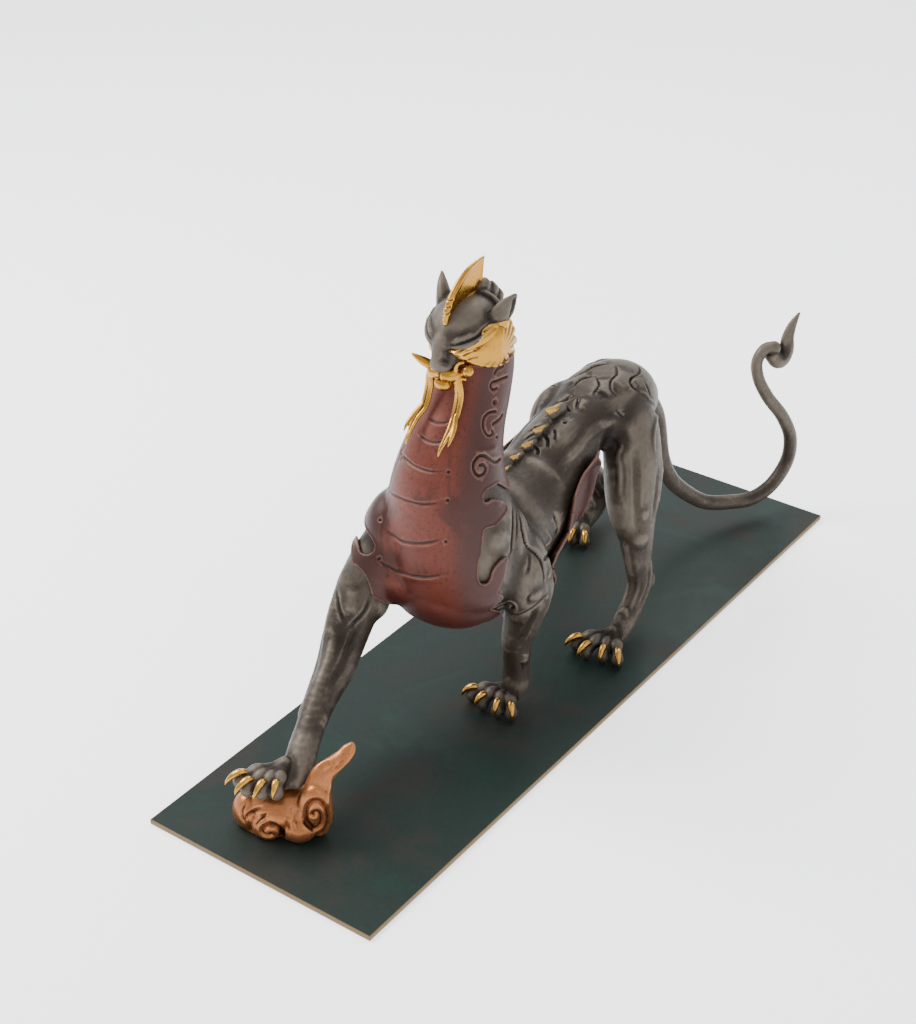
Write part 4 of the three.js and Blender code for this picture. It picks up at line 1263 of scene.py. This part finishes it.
STRAND = [
    (10.4, -83, 206, 1.5, 1.2), (13, -88, 201, 1.5, 1.1), (14.2, -93, 196.6, 1.0, 0.8),
    (14.2, -95, 194, 0.4, 0.4),
]
KNOB = (14, -77.5, 230.2, 3.1, 3.1, 3.1)
HOOK = [
    (12.4, -77.5, 225, 0.9), (9.2, -79, 226, 1.1), (8, -79.8, 230, 1.2), (9.4, -79.4, 233.8, 1.1),
    (12, -78.6, 235, 0.8),
]
TUSK = [(-6, -80, 228, 2.6), (-11, -82, 230.5, 2.4), (-16, -84.5, 234, 0.8)]
LIP_NOTCH = [(1.5, -86.4, 230), (1.5, -86.2, 227), (1.5, -85.4, 225)]
MOUTH_GAP = [(-6, -82.6, 223.3), (0, -83.6, 223.4), (6, -82.6, 223.3)]

mouth_forms = [limb(UPPER_LIP, 20, 1, side=(0, 0, 1)), ball(CHIN), ball(KNOB), limb(HOOK, 12, 0.8)]
mouth_forms += [limb(TUSK, 16, 1, side=(0, 1, 0))]
for turned in (list, mirrored):
    mouth_forms += [limb(turned(WHISKER), 16, 1), limb(turned(STRAND), 12, 1)]
mouth = fuse("mouth", mouth_forms, MOUTH_VOXEL, 2)
chasing = Relief(mouth)
ribbon = [(x * 1.02, y - deep, z) for x, y, z, _, deep in WHISKER[1:-1]]
chasing.line(ribbon, 0.9, -0.8, mirror=True)
chasing.line(LIP_NOTCH, 1.5, -1.4, fade=False)
chasing.line(MOUTH_GAP, 1.3, -1.2)
chasing.press()
dress(mouth, "gilt_mouth", gilding, "gilt_muzzle")

# The cloud under the right forepaw is a separate casting in copper-coloured bronze: a rolling body
# banded at its left, a volute at the front, a tall scroll and a leaf that runs up behind the paw.
CLOUD_VOXEL = 0.55
CLOUD_BODY = [(-17, -203, 15, 20, 17, 13), (-30, -213, 11, 10, 10, 12), (-4, -207, 9, 12, 9, 9)]
FACING = np.array((0.588, -0.809, 0))
ACROSS = np.array((0.809, 0.588, 0))
FACING_TURN = (0, 0, 36)
VOLUTES = [
    # middle, half width, half depth, half height, turns
    (np.array((-15, -215, 9.5)), (10, 7.5, 9), 1.1), (np.array((5, -201, 18.5)), (9.5, 5.5, 17), 1.6),
]
CLOUD_LEAF = [
    (3.5, -199, 22, 9, 5), (4, -197, 32, 7.4, 4.2), (5, -193.5, 39, 6.4, 3.6), (7.8, -188.5, 43.2, 5, 3),
    (10.2, -182.5, 46.2, 4.4, 2.6), (11.4, -178.6, 49.6, 3.6, 2.2), (11.9, -176.9, 51.6, 1.8, 1.4),
]
# Lines cut on it, in pixels of the photo, with width and height in millimetres
CLOUD_LINES = [
    ([(248, 800), (242, 810), (243, 820), (247, 825)], 1.6, -1.2),
    ([(265, 806), (254, 811), (247.5, 816), (246.5, 824), (251, 831)], 1.6, -1.2),
    ([(268, 813.5), (258, 820), (254.5, 828), (256, 836), (262, 841)], 1.7, -1.4),
    ([(290, 812), (288, 822), (289, 833)], 2.0, -0.8),
    ([(297, 808), (296, 820), (298, 833)], 2.0, -0.8),
    ([(334, 770), (339, 765), (343.5, 758)], 2.6, -1.2),
    ([(319, 772), (325, 766), (332, 763)], 3, -0.8),
    ([(330, 778), (329, 790), (327.5, 800), (327, 812)], 1.6, 1.0),
]
COPPER = (0.36, 0.135, 0.050)
COPPER_BLOOM = (0.40, 0.17, 0.09)
COPPER_FLECK = (0.14, 0.052, 0.016)
# Painted shade in the hollows and creases, a painted highlight on the ridges
COPPER_HOLLOW_SHADE = (0.08, 0.028, 0.011)
COPPER_CREASE_SHADE = (0.02, 0.008, 0.004)
COPPER_RIDGE_HIGHLIGHT = (0.50, 0.26, 0.13)


def spiral(middle, half, turns, count=60):
    """Places along a spiral wound inwards over a volute's face."""
    wide, deep, tall = half
    placed = []
    for i in range(count + 1):
        along = i / count
        turn = -math.pi / 2 + 2 * math.pi * turns * along
        reach = 0.86 * (1 - 0.8 * along)
        place = middle + ACROSS * math.cos(turn) * reach * wide
        place = place + FACING * deep * math.sqrt(1 - reach**2 * 0.9)
        placed.append(tuple(place + (0, 0, math.sin(turn) * reach * tall)))
    return placed


def copper_finish():
    """Warm copper, with painted shade dark brown in its hollows and creases and painted highlights on its
    ridges.
    """
    copper = Finish("copper_patina", COPPER, 70, 700, 0.8, 0.36)
    patches, speckle = copper.clouds.outputs["Patches"], copper.clouds.outputs["Speckle"]
    near, far = copper.carved("near_relief"), copper.carved("far_relief")
    copper.coat(COPPER_BLOOM, copper.between(patches, 0.5, 0.7), 0.7)
    copper.coat(COPPER_FLECK, copper.between(speckle, 0.5, 0.72), 0.5)
    copper.coat(COPPER_HOLLOW_SHADE, copper.between(far, -0.05, -0.6), 0.85)
    copper.coat(COPPER_CREASE_SHADE, copper.between(near, -0.03, -0.14), 0.75)
    copper.coat(COPPER_RIDGE_HIGHLIGHT, copper.between(near, 0.03, 0.14), 0.5)
    return copper.surface(copper.between(patches, 0.3, 0.7, 0.3, 0.45), grain=0.3)


cloud_forms = [ball(sizes) for sizes in CLOUD_BODY] + [limb(CLOUD_LEAF, 20, 1.5, side=tuple(ACROSS))]
cloud_forms += [ball((*middle, *half), turn=FACING_TURN) for middle, half, _ in VOLUTES]
cloud = fuse("cloud", cloud_forms, CLOUD_VOXEL, 8)
rolling = Relief(cloud)
for middle, half, turns in VOLUTES:
    rolling.line(spiral(middle, half, turns), 2.3, -1.9, fade=False)
for pixels, width, height in CLOUD_LINES:
    rolling.line(rolling.seen(pixels), width, height)
rolling.press()
only([cloud], cloud)
bpy.ops.object.mode_set(mode="EDIT")
bpy.ops.mesh.select_all(action="SELECT")
bpy.ops.mesh.bisect(plane_co=(0, 0, PAW_FLOOR * MM), plane_no=(0, 0, 1), use_fill=True, clear_inner=True)
bpy.ops.object.mode_set(mode="OBJECT")
dress(cloud, "copper_cloud", copper_finish(), "cloud")
